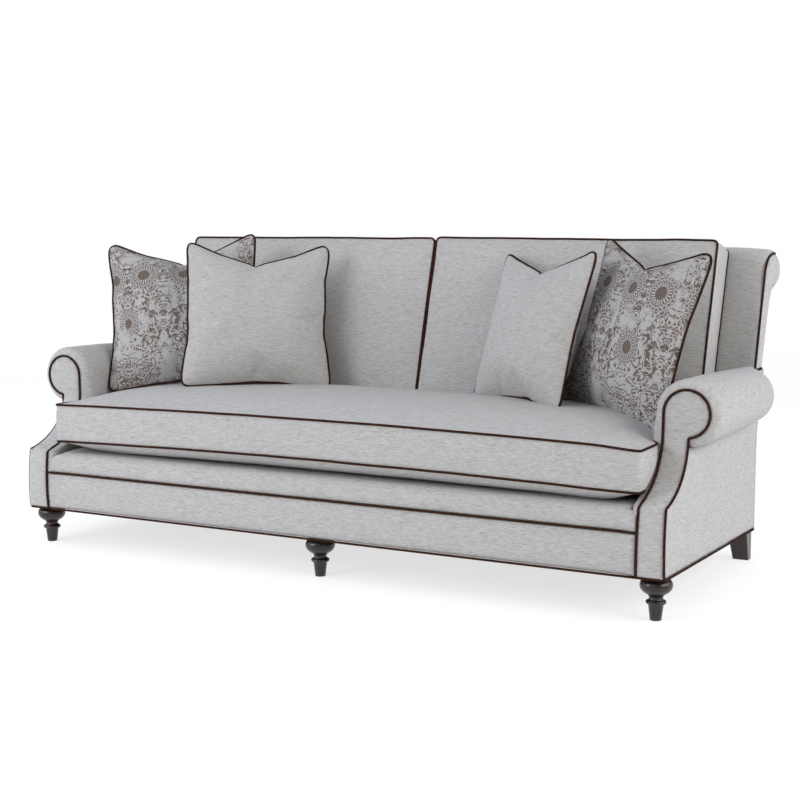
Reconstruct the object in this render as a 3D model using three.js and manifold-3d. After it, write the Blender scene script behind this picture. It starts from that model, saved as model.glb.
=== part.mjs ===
// English roll arm sofa: a bench seat cushion, two loose back cushions and four throw pillows
// on a sprung hardwood frame with padded roll arms, a scrolled back, corded seams and turned legs.
// Lengths are in millimetres. +X is to the right of someone looking at the sofa, +Y is to its rear
// and +Z is up. While the sofa is built, y = 0 is the front face of the base and z = 0 the floor;
// the finished group is moved so that the origin lies under the middle of the whole sofa.
import * as THREE from 'three';
import { mergeVertices } from 'three/addons/utils/BufferGeometryUtils.js';
import Module from 'manifold-3d';

const wasm = await Module();
wasm.setup();

// Fits
const GAP = 0.3; // between two faces that touch on the real sofa
const OVERRUN = 40; // how far a cutter runs past what it cuts
const WELT_RADIUS = 2.8; // corded seam, half its flat-to-flat width
const WELT_OFFSET = WELT_RADIUS + GAP;
const SEAM_CHAMFER = WELT_OFFSET * Math.SQRT2; // the nick along a seam where its cord lies

// Base
const BASE_WIDTH = 2104;
const BASE_DEPTH = 764;
const LEG_HEIGHT = 118.2;
const RAIL_TOP = 230;
const RAIL_THICKNESS = 45;
const PANEL_THICKNESS = 15; // covered and padded outside panels
const DECK_HEIGHT = 295;
const DECK_EDGE_RADIUS = 26;
const STRETCHER_HEIGHT = 70;
const CORNER_BLOCK_LEG = 75;
const CORNER_BLOCK_HEIGHT = 60;
const DUST_COVER_THICKNESS = 1.5;
const DUST_COVER_INSET = 22;

// Arms
const ROLL_RADIUS = 89;
const ROLL_FACE_RADIUS = 62.5; // seam circle of the roll's flat face
const ROLL_CENTRE_HEIGHT = 519;
const ROLL_OVERHANG = 82; // how far the roll stands out past the base
const ROLL_REAR = 735;
const ROLL_REAR_ROUNDING = 72;
const ARM_PAD_THICKNESS = 36;
const FACING_THICKNESS = 12;
const FACING_FOOT_WIDTH = 76;
const FACING_TOE_BULGE = 9;
const FACING_TOE_HEIGHT = 298;
const FACING_SETBACK = 160;
const FACING_SWEEP_DROP = 59; // from the roll's centre down to the top of the sweep
const ARM_STUMP_RISE = 41; // of the stump's top above the roll's centre
const ARM_STUMP_DEPTH = 42;
const ARM_RAIL_HEIGHT = 60;

// Back
const BACK_RAKE = 15; // degrees from upright, the inside of the back and its cushions
const OUTSIDE_RAKE = 17.5; // degrees from upright, the outside of the back
const OUTSIDE_BREAK_HEIGHT = 400;
const BACK_DISH = 22; // how far the cushions sink behind the back's side strips
const SCROLL_RADIUS = 66;
const SCROLL_SEAM_RADIUS = 50;
const SCROLL_HEIGHT = 868;
const SCROLL_SETBACK = 153; // the scroll's centre behind the base's rear face
const BACK_END_WIDTH = 12; // each end panel, at the side of the back
const POST_DEPTH = 38;
const POST_TOP = 850;
const BACK_RAIL_HEIGHT = 80;
const BACK_RAIL_THICKNESS = 26;
const TACK_RAIL_HEIGHT = 58;

// Springs
const SPRING_COUNT = 11;
const SPRING_WAVES = 8;
const SPRING_SWING = 50;
const SPRING_WIRE = 4;
const SPRING_REST = 5; // how far the wire lies on the rails

// Legs
const LEG_BULB_RADIUS = 43;
const FRONT_LEG_INSET = 47;
const LEG_SEGMENTS = 14;
const REAR_LEG_WIDTH = 58;
const REAR_LEG_DEPTH = 49;
const REAR_LEG_TAPER = 14; // of the side away from the corner
const REAR_LEG_RAKE = 27; // of the front side
const REAR_LEG_INSET = 7;
const REAR_LEG_DROP = 26; // how much shorter the rear legs are, so that the sofa leans back
const BOLT_RADIUS = 4;
const BOLT_IN_LEG = 38;
const BOLT_IN_RAIL = 32;
const BOLT_SEGMENTS = 8;

// Seat cushion
const SEAT_SIDE_CLEARANCE = 6;
const SEAT_FRONT_OVERHANG = 5;
const SEAT_BOXING = 117;
const SEAT_SEAM_RISE = 12;
const SEAT_END_SEAM_HEIGHT = 441;
const SEAT_CROWN = 26;
const SEAT_BELLY = 46;
const SEAT_CORNER_RADIUS = 30;
const SEAT_DRAW_IN = 5;
const SEAT_BULGE = 5;

// Back cushions
const BACK_CUSHION_SIDE_CLEARANCE = 22; // from a back cushion's cord to the arm
const BACK_CUSHION_HEIGHT = 497;
const BACK_CUSHION_BOXING = 110;
const BACK_CUSHION_CROWN = 32;
const BACK_CUSHION_REAR_CROWN = 2;
const BACK_CUSHION_CORNER_RADIUS = 22;
const BACK_CUSHION_DRAW_IN = 7;
const BACK_CUSHION_BULGE = 1;

// Throw pillows
const PILLOW_SIDE = 481;
const PILLOW_THICKNESS = 138;
const PILLOW_RIM = 5;
const PILLOW_DRAW_IN = 20;
const PILLOW_DENT = 48; // how far the upper edge is pressed in at its middle
const PILLOW_CORNER_PULL = 4;

const COLOURS = {
  linen: '#d3d1cb',
  piping: '#3a2419',
  print: '#9d8f86',
  hardwood: '#b08a5c',
  espresso: '#2b1c16',
  steel: '#8d9093',
  cambric: '#2a2a2c',
};

const material = (color, roughness, metalness = 0) =>
  new THREE.MeshStandardMaterial({ color, roughness, metalness });

const MATERIALS = {
  linen: material(COLOURS.linen, 0.9),
  piping: material(COLOURS.piping, 0.8),
  print: material(COLOURS.print, 0.9),
  hardwood: material(COLOURS.hardwood, 0.7),
  espresso: material(COLOURS.espresso, 0.3),
  steel: material(COLOURS.steel, 0.4, 1),
  cambric: material(COLOURS.cambric, 0.95),
};

// Places that several pieces share. The sofa is built level and then leans back by the tilt.
const halfWidth = BASE_WIDTH / 2;
const rearLegY = BASE_DEPTH - WELT_RADIUS * 2 - GAP - REAR_LEG_DEPTH / 2;
const tilt = Math.atan2(REAR_LEG_DROP, rearLegY - FRONT_LEG_INSET);
const baseBottom = LEG_HEIGHT + GAP;
const rollX = halfWidth + ROLL_OVERHANG - ROLL_RADIUS;
const armInner = rollX - ROLL_RADIUS;
const sweepTop = ROLL_CENTRE_HEIGHT - FACING_SWEEP_DROP;
const stumpTop = ROLL_CENTRE_HEIGHT + ARM_STUMP_RISE;
const frameHalf = halfWidth - PANEL_THICKNESS - GAP;
const railInner = frameHalf - RAIL_THICKNESS;
const railFront = PANEL_THICKNESS + GAP;
const railRear = BASE_DEPTH - PANEL_THICKNESS - GAP;
const rakeSlope = Math.tan(THREE.MathUtils.degToRad(BACK_RAKE));
const outsideSlope = Math.tan(THREE.MathUtils.degToRad(OUTSIDE_RAKE));
const scrollY = BASE_DEPTH + SCROLL_SETBACK;
const armReach = [armInner - OVERRUN, rollX + ROLL_RADIUS + OVERRUN];
const tackTop = RAIL_TOP + TACK_RAIL_HEIGHT;

// y of the outside of the back at a height
function outsideBackAt(z) {
  return BASE_DEPTH + Math.max(0, z - OUTSIDE_BREAK_HEIGHT) * outsideSlope;
}

// y of the inside of the back, where the cushions lean, at a height
const insideTop = scrollY - SCROLL_RADIUS - BACK_DISH / 2;
function insideBackAt(z) {
  return insideTop - (SCROLL_HEIGHT - z) * rakeSlope;
}

const v2 = (x, y) => new THREE.Vector2(x, y);
const v3 = (x, y, z) => new THREE.Vector3(x, y, z);

// Solids from outlines

function prismZ(outline, low, high) {
  const geometry = new THREE.ExtrudeGeometry(new THREE.Shape(outline), {
    depth: high - low,
    bevelEnabled: false,
  });
  return geometry.translate(0, 0, low);
}

// The outline is in (y, z) and runs along x.
function prismX(outline, low, high) {
  const geometry = prismZ(outline, low, high);
  return geometry.applyMatrix4(new THREE.Matrix4().set(0, 0, 1, 0, 1, 0, 0, 0, 0, 1, 0, 0, 0, 0, 0, 1));
}

// The outline is in (x, z) and runs along y.
function prismY(outline, low, high) {
  return prismZ(outline, -high, -low).rotateX(Math.PI / 2);
}

function box(x, y, z) {
  const size = [x, y, z].map(([low, high]) => high - low);
  const middle = [x, y, z].map(([low, high]) => (low + high) / 2);
  return new THREE.BoxGeometry(...size).translate(...middle);
}

function solid(geometry) {
  const bare = geometry.clone();
  bare.deleteAttribute('normal');
  bare.deleteAttribute('uv');
  const merged = mergeVertices(bare);
  return new wasm.Manifold(
    new wasm.Mesh({
      numProp: 3,
      vertProperties: new Float32Array(merged.attributes.position.array),
      triVerts: new Uint32Array(merged.index.array),
    }),
  );
}

function geometryOf(body) {
  const mesh = body.getMesh();
  const geometry = new THREE.BufferGeometry();
  const points = [];
  for (let i = 0; i < mesh.numVert; i += 1) {
    points.push(...mesh.vertProperties.slice(i * mesh.numProp, i * mesh.numProp + 3));
  }
  geometry.setAttribute('position', new THREE.Float32BufferAttribute(points, 3));
  geometry.setIndex([...mesh.triVerts]);
  return geometry;
}

const join = (...geometries) =>
  geometryOf(geometries.map(solid).reduce((whole, next) => whole.add(next)));
const cut = (geometry, ...cutters) =>
  geometryOf(cutters.map(solid).reduce((rest, cutter) => rest.subtract(cutter), solid(geometry)));
const common = (first, second) => geometryOf(solid(first).intersect(solid(second)));

// The directions in which a line of points comes to a point and leaves it
function runs(points, i, closed) {
  const count = points.length;
  const run = (from, to) => points[to % count].clone().sub(points[from % count]).normalize();
  const into = closed || i > 0 ? run(i + count - 1, i) : null;
  const out = closed || i < count - 1 ? run(i, i + 1) : null;
  return [into ?? out, out ?? into];
}

// A line of points moved sideways, to its left for a positive distance, with mitred corners
function offset(points, distance, closed = false) {
  return points.map((point, i) => {
    const [into, out] = runs(points, i, closed);
    const across = v2(-into.y - out.y, into.x + out.x);
    return point.clone().addScaledVector(across, distance / (1 + into.dot(out)));
  });
}

// A cord along points, with a flat of its section facing each point's normal. The corners are
// mitred, so that the flats keep their distance from the seam.
function cord(points, normals, { closed = true, turn = 0, radius = WELT_RADIUS } = {}) {
  const count = points.length;
  const corner = radius * Math.SQRT2;
  const vertices = [];
  points.forEach((point, i) => {
    const [into, out] = runs(points, i, closed);
    const mitre = into.clone().add(out).normalize();
    const normal = normals[i].clone().addScaledVector(into, -normals[i].dot(into)).normalize();
    const side = into.clone().cross(normal);
    for (let k = 0; k < 4; k += 1) {
      const angle = turn + Math.PI / 4 + (k * Math.PI) / 2;
      const spoke = normal.clone().multiplyScalar(Math.cos(angle) * corner);
      spoke.addScaledVector(side, Math.sin(angle) * corner);
      spoke.addScaledVector(into, -spoke.dot(mitre) / into.dot(mitre));
      vertices.push(point.clone().add(spoke));
    }
  });
  const faces = [];
  const rings = closed ? count : count - 1;
  for (let i = 0; i < rings; i += 1) {
    const next = (i + 1) % count;
    for (let k = 0; k < 4; k += 1) {
      const a = i * 4 + k;
      const b = i * 4 + ((k + 1) % 4);
      const c = next * 4 + ((k + 1) % 4);
      const d = next * 4 + k;
      faces.push(a, b, c, a, c, d);
    }
  }
  if (!closed) {
    const last = (count - 1) * 4;
    faces.push(0, 2, 1, 0, 3, 2, last, last + 1, last + 2, last, last + 2, last + 3);
  }
  const geometry = new THREE.BufferGeometry().setFromPoints(vertices);
  geometry.setIndex(faces);
  return outward(geometry);
}

// Turns every face round if the solid is inside out.
function outward(geometry) {
  const p = geometry.attributes.position;
  const index = geometry.index.array;
  const [a, b, c] = [v3(), v3(), v3()];
  let volume = 0;
  for (let i = 0; i < index.length; i += 3) {
    a.fromBufferAttribute(p, index[i]);
    b.fromBufferAttribute(p, index[i + 1]);
    c.fromBufferAttribute(p, index[i + 2]);
    volume += a.dot(b.cross(c));
  }
  if (volume < 0) geometry.setIndex([...index].reverse());
  return geometry;
}

// Shares from -1 to 1, alike on both sides of the middle, with one line close to each edge.
function spread(edgeShare, innerShares) {
  const half = [edgeShare, ...innerShares];
  return [-1, ...half.map((s) => -s), ...half.slice().reverse(), 1];
}

// The points round the edge of a grid of shares, anticlockwise.
function rim(us, vs) {
  const lastU = us.length - 1;
  const lastV = vs.length - 1;
  return [
    ...us.slice(0, lastU).map((u, i) => [i, 0]),
    ...vs.slice(0, lastV).map((v, j) => [lastU, j]),
    ...us.slice(1).map((u, i) => [lastU - i, lastV]),
    ...vs.slice(1).map((v, j) => [0, lastV - j]),
  ];
}

// A closed cushion: a lower and an upper panel over a grid of shares, and rows of boxing between.
function quilt(us, vs, rows, place) {
  const points = [];
  const panels = [rows[0], rows[rows.length - 1]].map((w) =>
    us.map((u) =>
      vs.map((v) => {
        points.push(place(u, v, w));
        return points.length - 1;
      }),
    ),
  );
  const edge = rim(us, vs);
  const loops = rows.map((w, r) => {
    if (r === 0) return edge.map(([i, j]) => panels[0][i][j]);
    if (r === rows.length - 1) return edge.map(([i, j]) => panels[1][i][j]);
    return edge.map(([i, j]) => points.push(place(us[i], vs[j], w)) - 1);
  });
  const faces = [];
  for (let i = 0; i < us.length - 1; i += 1) {
    for (let j = 0; j < vs.length - 1; j += 1) {
      panels.forEach((panel, top) => {
        const corners = [panel[i][j], panel[i + 1][j], panel[i + 1][j + 1], panel[i][j + 1]];
        const flip = us[i] + us[i + 1] < 0 !== vs[j] + vs[j + 1] < 0;
        const [a, b, c, d] = flip ? [...corners.slice(1), corners[0]] : corners;
        if (top) faces.push(a, b, c, a, c, d);
        else faces.push(a, c, b, a, d, c);
      });
    }
  }
  for (let r = 0; r < rows.length - 1; r += 1) {
    edge.forEach((corner, i) => {
      const next = (i + 1) % edge.length;
      const [a, b] = [loops[r][i], loops[r][next]];
      const [c, d] = [loops[r + 1][next], loops[r + 1][i]];
      faces.push(a, b, c, a, c, d);
    });
  }
  const geometry = new THREE.BufferGeometry().setFromPoints(points);
  geometry.setIndex(faces);
  return geometry;
}

// A boxed cushion lying flat about its own middle. Its panels are crowned, its sides drawn in
// between rounded corners and its seams nicked for their cords.
function boxedCushion(size) {
  const { halfX, halfY, halfZ, radius, drawIn, bulge, rise = 0 } = size;
  const { crown, belly, rest = -Infinity } = size;
  const us = spread(1 - radius / halfX, size.acrossShares);
  const vs = spread(1 - radius / halfY, size.deepShares);
  const cornerPull = radius * (1 - Math.SQRT1_2);
  const seamAt = (u) => rise * (1 - u * u);
  const swell = (u, v) => (1 - Math.abs(u) ** size.crownPowerX) * (1 - Math.abs(v) ** size.crownPowerY);
  const outlineAt = (u, v, inset) => {
    const pull = Math.abs(u) === 1 && Math.abs(v) === 1 ? cornerPull : 0;
    const x = (halfX - inset - pull - drawIn * (1 - v * v)) * u;
    const y = (halfY - inset - pull - drawIn * (1 - u * u)) * v;
    return v2(x, y);
  };
  const seamShare = 1 - SEAM_CHAMFER / halfZ;
  const place = (u, v, w) => {
    if (Math.abs(w) === 1) {
      const { x, y } = outlineAt(u, v, SEAM_CHAMFER);
      const lift = w > 0 ? crown : belly;
      const z = seamAt(u) + w * (halfZ + lift * swell(u, v));
      return v3(x, y, Math.max(z, rest));
    }
    const { x, y } = outlineAt(u, v, -bulge * (1 - Math.abs(w) / seamShare));
    return v3(x, y, seamAt(u) + w * halfZ);
  };
  const geometry = quilt(us, vs, [-1, -seamShare, 0, seamShare, 1], place);
  const seam = (w) =>
    rim(us, vs).map(([i, j]) => {
      const { x, y } = outlineAt(us[i], vs[j], 0);
      return v3(x, y, seamAt(us[i]) + w * halfZ);
    });
  return { geometry, seam };
}

// The cord in a cushion's seam
function seamCord(points) {
  return cord(points, points.map(() => v3(0, 0, 1)), { turn: Math.PI / 4 });
}

// Scene

const sofa = new THREE.Group();

function add(name, geometry, finish, parent = sofa) {
  const mesh = new THREE.Mesh(geometry, MATERIALS[finish]);
  mesh.name = name;
  parent.add(mesh);
  return mesh;
}

// Adds a piece on the right and its mirror image on the left.
function addPair(name, geometry, finish) {
  add(`${name}_right`, geometry, finish);
  add(`${name}_left`, geometry, finish).scale.x = -1;
}

// Profile of the arm's front, in (y, z): toe, sweep and roll face
function armProfile() {
  const middle = (baseBottom + FACING_TOE_HEIGHT) / 2;
  const path = new THREE.Path();
  path.moveTo(-FACING_TOE_BULGE * 0.6, baseBottom);
  path.quadraticCurveTo(-FACING_TOE_BULGE * 1.6, middle, 0, FACING_TOE_HEIGHT);
  path.bezierCurveTo(
    FACING_SETBACK * 0.38,
    THREE.MathUtils.lerp(FACING_TOE_HEIGHT, sweepTop, 0.08),
    FACING_SETBACK * 0.97,
    THREE.MathUtils.lerp(FACING_TOE_HEIGHT, sweepTop, 0.36),
    FACING_SETBACK,
    sweepTop,
  );
  const [toe, sweep] = path.curves;
  return [...toe.getPoints(3), ...sweep.getPoints(9).slice(1)];
}

const profile = armProfile();
const rollTop = ROLL_CENTRE_HEIGHT + ROLL_RADIUS;
const fullProfile = [...profile, v2(FACING_SETBACK, rollTop + OVERRUN)];

// The seam round the arm's keyhole face in (x, z), from its outer foot to its inner foot
function keyhole() {
  const notch = Math.asin((halfWidth - rollX) / ROLL_FACE_RADIUS);
  const head = new THREE.EllipseCurve(
    rollX,
    ROLL_CENTRE_HEIGHT,
    ROLL_FACE_RADIUS,
    ROLL_FACE_RADIUS,
    notch - Math.PI / 2,
    Math.PI,
  );
  const inner = halfWidth - FACING_FOOT_WIDTH;
  return [v2(halfWidth, baseBottom), ...head.getPoints(16), v2(inner, baseBottom)];
}

// What is under the floor, around a leg's own origin, with the floor at a height there
function underfloor(height) {
  const reach = LEG_BULB_RADIUS + OVERRUN;
  const rise = reach * Math.tan(tilt);
  const outline = [
    v2(-reach, -reach),
    v2(reach, -reach),
    v2(reach, height + rise),
    v2(-reach, height - rise),
  ];
  return prismX(outline, -reach, reach);
}

function frontLeg() {
  const shares = [
    [-0.02, 0.34],
    [0.36, 0.47],
    [0.37, 0.6],
    [0.4, 0.62],
    [0.44, 0.6],
    [0.47, 0.44],
    [0.53, 0.44],
    [0.6, 0.74],
    [0.69, 0.94],
    [0.78, 1],
    [0.86, 0.93],
    [0.91, 0.78],
    [1, 0.76],
  ];
  const bore = BOLT_RADIUS + GAP;
  const boreFloor = LEG_HEIGHT - BOLT_IN_LEG - GAP;
  const outline = shares.map(([z, r]) => v2(r * LEG_BULB_RADIUS, z * LEG_HEIGHT));
  const turned = new THREE.LatheGeometry(
    [
      v2(0, outline[0].y),
      ...outline,
      v2(bore, LEG_HEIGHT),
      v2(bore, boreFloor),
      v2(0, boreFloor),
    ],
    LEG_SEGMENTS,
  ).rotateX(Math.PI / 2);
  return cut(turned, underfloor(0));
}

// A rear leg, tapered on its front and on its inner side, or on both sides in the middle
function rearLeg(borer, middle) {
  const top = REAR_LEG_WIDTH / 2;
  const rear = REAR_LEG_DEPTH / 2;
  const foot = REAR_LEG_DROP - REAR_LEG_RAKE / 2;
  const inner = top - REAR_LEG_TAPER / (middle ? 2 : 1);
  const outer = middle ? inner : top;
  const face = [v2(-inner, foot), v2(outer, foot), v2(top, LEG_HEIGHT), v2(-top, LEG_HEIGHT)];
  const flank = [
    v2(REAR_LEG_RAKE - rear, foot),
    v2(rear, foot),
    v2(rear, LEG_HEIGHT),
    v2(-rear, LEG_HEIGHT),
  ];
  const leg = common(prismY(face, -rear, rear), prismX(flank, -top, top));
  return cut(leg, borer, underfloor(REAR_LEG_DROP));
}

function legsAndBolts() {
  const peg = (radius, length) =>
    new THREE.CylinderGeometry(radius, radius, length, BOLT_SEGMENTS).rotateX(Math.PI / 2);
  const length = BOLT_IN_LEG + BOLT_IN_RAIL;
  const bolt = peg(BOLT_RADIUS, length);
  const borer = peg(BOLT_RADIUS + GAP, length + GAP + GAP);
  const boltZ = LEG_HEIGHT + (BOLT_IN_RAIL - BOLT_IN_LEG) / 2;
  const frontX = halfWidth - FRONT_LEG_INSET * 0.85;
  const rearX = halfWidth - REAR_LEG_INSET - REAR_LEG_WIDTH / 2;
  const turned = frontLeg();
  const bores = [];
  for (const [name, side] of Object.entries({ left: -1, centre: 0, right: 1 })) {
    const front = add(`leg_front_${name}`, turned, 'espresso');
    front.position.set(side * frontX, FRONT_LEG_INSET, 0);
    const square = rearLeg(borer.clone().translate(0, 0, boltZ), side === 0);
    const rear = add(`leg_rear_${name}`, square, 'espresso');
    rear.position.set(side * rearX, rearLegY, 0);
    if (side < 0) rear.scale.x = -1;
    for (const leg of [front, rear]) {
      const { x, y } = leg.position;
      add(leg.name.replace('leg', 'leg_bolt'), bolt, 'steel').position.set(x, y, boltZ);
      bores.push(borer.clone().translate(x, y, boltZ));
    }
  }
  return { bores, frontX, rearX };
}

function baseFrame(bores) {
  const height = [baseBottom, RAIL_TOP];
  const whole = [-frameHalf, frameHalf];
  const frontBack = railFront + RAIL_THICKNESS;
  const rearFront = railRear - RAIL_THICKNESS;
  add('front_rail', cut(box(whole, [railFront, frontBack], height), ...bores), 'hardwood');
  add('rear_rail', cut(box(whole, [rearFront, railRear], height), ...bores), 'hardwood');
  const between = [frontBack + GAP, rearFront - GAP];
  addPair('side_rail', box([railInner, frameHalf], between, height), 'hardwood');
  const half = RAIL_THICKNESS / 2;
  const low = [baseBottom, baseBottom + STRETCHER_HEIGHT];
  add('centre_stretcher', box([-half, half], between, low), 'hardwood');
  const blockZ = [baseBottom + STRETCHER_HEIGHT / 4, baseBottom + STRETCHER_HEIGHT / 4 + CORNER_BLOCK_HEIGHT];
  const cornerX = railInner - GAP;
  const frontCorner = [
    v2(cornerX, between[0]),
    v2(cornerX, between[0] + CORNER_BLOCK_LEG),
    v2(cornerX - CORNER_BLOCK_LEG, between[0]),
  ];
  const rearCorner = [
    v2(cornerX, between[1]),
    v2(cornerX - CORNER_BLOCK_LEG, between[1]),
    v2(cornerX, between[1] - CORNER_BLOCK_LEG),
  ];
  addPair('corner_block_front', prismZ(frontCorner, ...blockZ), 'hardwood');
  addPair('corner_block_rear', prismZ(rearCorner, ...blockZ), 'hardwood');
}

// One rack of zigzag springs, tied by wires across them
function springs() {
  const low = RAIL_TOP + GAP;
  const from = railFront + RAIL_THICKNESS - SPRING_REST;
  const to = railRear - RAIL_THICKNESS + SPRING_REST;
  const pitch = (2 * railInner) / (SPRING_COUNT + 1);
  const half = SPRING_WIRE / 2;
  const bars = [];
  for (let n = 1; n <= SPRING_COUNT; n += 1) {
    const x = n * pitch - railInner;
    const line = [];
    for (let k = 0; k <= SPRING_WAVES; k += 1) {
      const swing = k % 2 === 0 ? -SPRING_SWING / 2 : SPRING_SWING / 2;
      line.push(v2(x + swing, THREE.MathUtils.lerp(from, to, k / SPRING_WAVES)));
    }
    const outline = [...offset(line, -half), ...offset(line, half).reverse()];
    bars.push(prismZ(outline, low, low + SPRING_WIRE));
  }
  const reach = railInner - pitch / 2;
  for (const wave of [0.5, 2.5, SPRING_WAVES - 2.5, SPRING_WAVES - 0.5]) {
    const y = THREE.MathUtils.lerp(from, to, wave / SPRING_WAVES);
    bars.push(box([-reach, reach], [y - half, y + half], [low, low + SPRING_WIRE]));
  }
  add('seat_spring_rack', join(...bars), 'steel');
}

function deck() {
  const nick = SEAM_CHAMFER;
  const springTop = RAIL_TOP + GAP + SPRING_WIRE + GAP;
  const rear = insideBackAt(tackTop) - GAP;
  const facingSide = halfWidth - FACING_FOOT_WIDTH - WELT_OFFSET;
  const edge = new THREE.EllipseCurve(
    DECK_EDGE_RADIUS,
    DECK_HEIGHT - DECK_EDGE_RADIUS,
    DECK_EDGE_RADIUS,
    DECK_EDGE_RADIUS,
    Math.PI,
    Math.PI / 2,
    true,
  );
  const lip = PANEL_THICKNESS;
  const foot = RAIL_TOP + GAP / 2;
  const front = [v2(lip, foot), v2(nick, foot), v2(0, foot + nick), ...edge.getPoints(5)];
  const section = [...front, v2(rear, DECK_HEIGHT), v2(rear, springTop), v2(lip, springTop)];
  const whole = prismX(section, -armInner + GAP, armInner - GAP);
  const wide = [-facingSide, facingSide];
  const behind = behindProfile(FACING_THICKNESS, RAIL_TOP - OVERRUN, railRear, rollTop);
  const nosing = cut(prismX(section, ...wide), prismX(behind, -halfWidth, halfWidth));
  add('seat_deck', join(whole, nosing), 'linen');
  const top = RAIL_TOP - GAP / 2;
  const panel = [
    v2(0, baseBottom),
    v2(PANEL_THICKNESS, baseBottom),
    v2(PANEL_THICKNESS, top),
    v2(nick, top),
    v2(0, top - nick),
  ];
  add('front_border', prismX(panel, -facingSide, facingSide), 'linen');
  const y = nick - WELT_OFFSET * Math.SQRT2;
  const end = facingSide - GAP;
  const line = [v3(-end, y, RAIL_TOP), v3(end, y, RAIL_TOP)];
  const normals = line.map(() => v3(0, 0, 1));
  add('rail_welt', cord(line, normals, { closed: false, turn: Math.PI / 4 }), 'piping');
}

function dustCover({ frontX, rearX }) {
  const z = [LEG_HEIGHT - DUST_COVER_THICKNESS, LEG_HEIGHT];
  const x = halfWidth - DUST_COVER_INSET;
  const sheet = box([-x, x], [DUST_COVER_INSET, BASE_DEPTH - DUST_COVER_INSET], z);
  const hole = LEG_BULB_RADIUS * 0.78 + GAP + GAP;
  const holeHeight = DUST_COVER_THICKNESS * 4;
  const round = new THREE.CylinderGeometry(hole, hole, holeHeight, LEG_SEGMENTS).rotateX(Math.PI / 2);
  const cutters = [-frontX, 0, frontX].map((at) => round.clone().translate(at, FRONT_LEG_INSET, LEG_HEIGHT));
  const w = REAR_LEG_WIDTH / 2 + GAP;
  const d = REAR_LEG_DEPTH / 2 + GAP;
  const around = [LEG_HEIGHT - holeHeight, LEG_HEIGHT + holeHeight];
  for (const at of [-rearX, 0, rearX]) {
    cutters.push(box([at - w, at + w], [rearLegY - d, rearLegY + d + OVERRUN], around));
  }
  add('dust_cover', cut(sheet, ...cutters), 'cambric');
}

function baseWelt() {
  const z = baseBottom - WELT_OFFSET;
  const corner = WELT_RADIUS * 2;
  const x = halfWidth;
  const [front, rear] = [-FACING_TOE_BULGE / 2, BASE_DEPTH - WELT_RADIUS];
  const loop = [
    v3(-x + corner, front, z),
    v3(x - corner, front, z),
    v3(x, front + corner, z),
    v3(x, rear - corner, z),
    v3(x - corner, rear, z),
    v3(-x + corner, rear, z),
    v3(-x, rear - corner, z),
    v3(-x, front + corner, z),
  ];
  add('base_welt', cord(loop, loop.map(() => v3(0, 0, 1))), 'piping');
}

// What lies behind the arm's profile moved back by a distance, down to a height
function behindProfile(distance, floor, rear, top) {
  const edge = offset(fullProfile, -distance).filter((p) => p.y > floor && p.y < top);
  const first = v2(edge[0].x, floor);
  const last = v2(edge[edge.length - 1].x, top);
  return [first, v2(rear, floor), v2(rear, top), last, ...edge.slice().reverse()];
}

function armFacing() {
  const strip = [...offset(fullProfile, -FACING_THICKNESS), ...fullProfile.slice().reverse()];
  const face = prismY(offset(keyhole(), WELT_OFFSET), -OVERRUN, ROLL_REAR);
  addPair('arm_facing', common(prismX(strip, ...armReach), face), 'linen');
}

// Leaves room for the facing and its cord in what lies behind them.
function facingCutter() {
  const back = offset(fullProfile, -FACING_THICKNESS - GAP);
  const front = offset(fullProfile, OVERRUN);
  const room = prismX([...back, ...front.slice().reverse()], ...armReach);
  const seam = offset(keyhole(), -WELT_OFFSET);
  const [first, last] = [seam[0], seam[seam.length - 1]].map((p) => v2(p.x, p.y - OVERRUN));
  return common(room, prismY([first, ...seam, last], -OVERRUN - OVERRUN, ROLL_REAR));
}

function armWelt() {
  const points = [];
  const normals = [];
  const normalsOf = (curve, i) => {
    const before = curve[Math.max(0, i - 1)];
    const after = curve[Math.min(curve.length - 1, i + 1)];
    const along = after.clone().sub(before).normalize();
    return v3(0, -along.y, along.x);
  };
  const face = keyhole();
  const head = face.slice(1, -1);
  const innerFoot = face[face.length - 1].x;
  const innerHead = rollX - ROLL_FACE_RADIUS;
  const climb = (p) => (p.y - baseBottom) / (ROLL_CENTRE_HEIGHT - baseBottom);
  const lift = (p) => Math.max(p.y, baseBottom + GAP);
  profile.forEach((p, i) => {
    if (p.y >= head[0].y) return;
    points.push(v3(halfWidth, p.x, lift(p)));
    normals.push(normalsOf(profile, i));
  });
  head.forEach((p) => {
    points.push(v3(p.x, FACING_SETBACK, p.y));
    normals.push(v3(0, -1, 0));
  });
  profile.slice().reverse().forEach((p, i) => {
    const x = THREE.MathUtils.lerp(innerFoot, innerHead, climb(p));
    points.push(v3(x, p.x, lift(p)));
    normals.push(normalsOf(profile, profile.length - 1 - i));
  });
  addPair('arm_welt', cord(points, normals, { closed: false }), 'piping');
}

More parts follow.
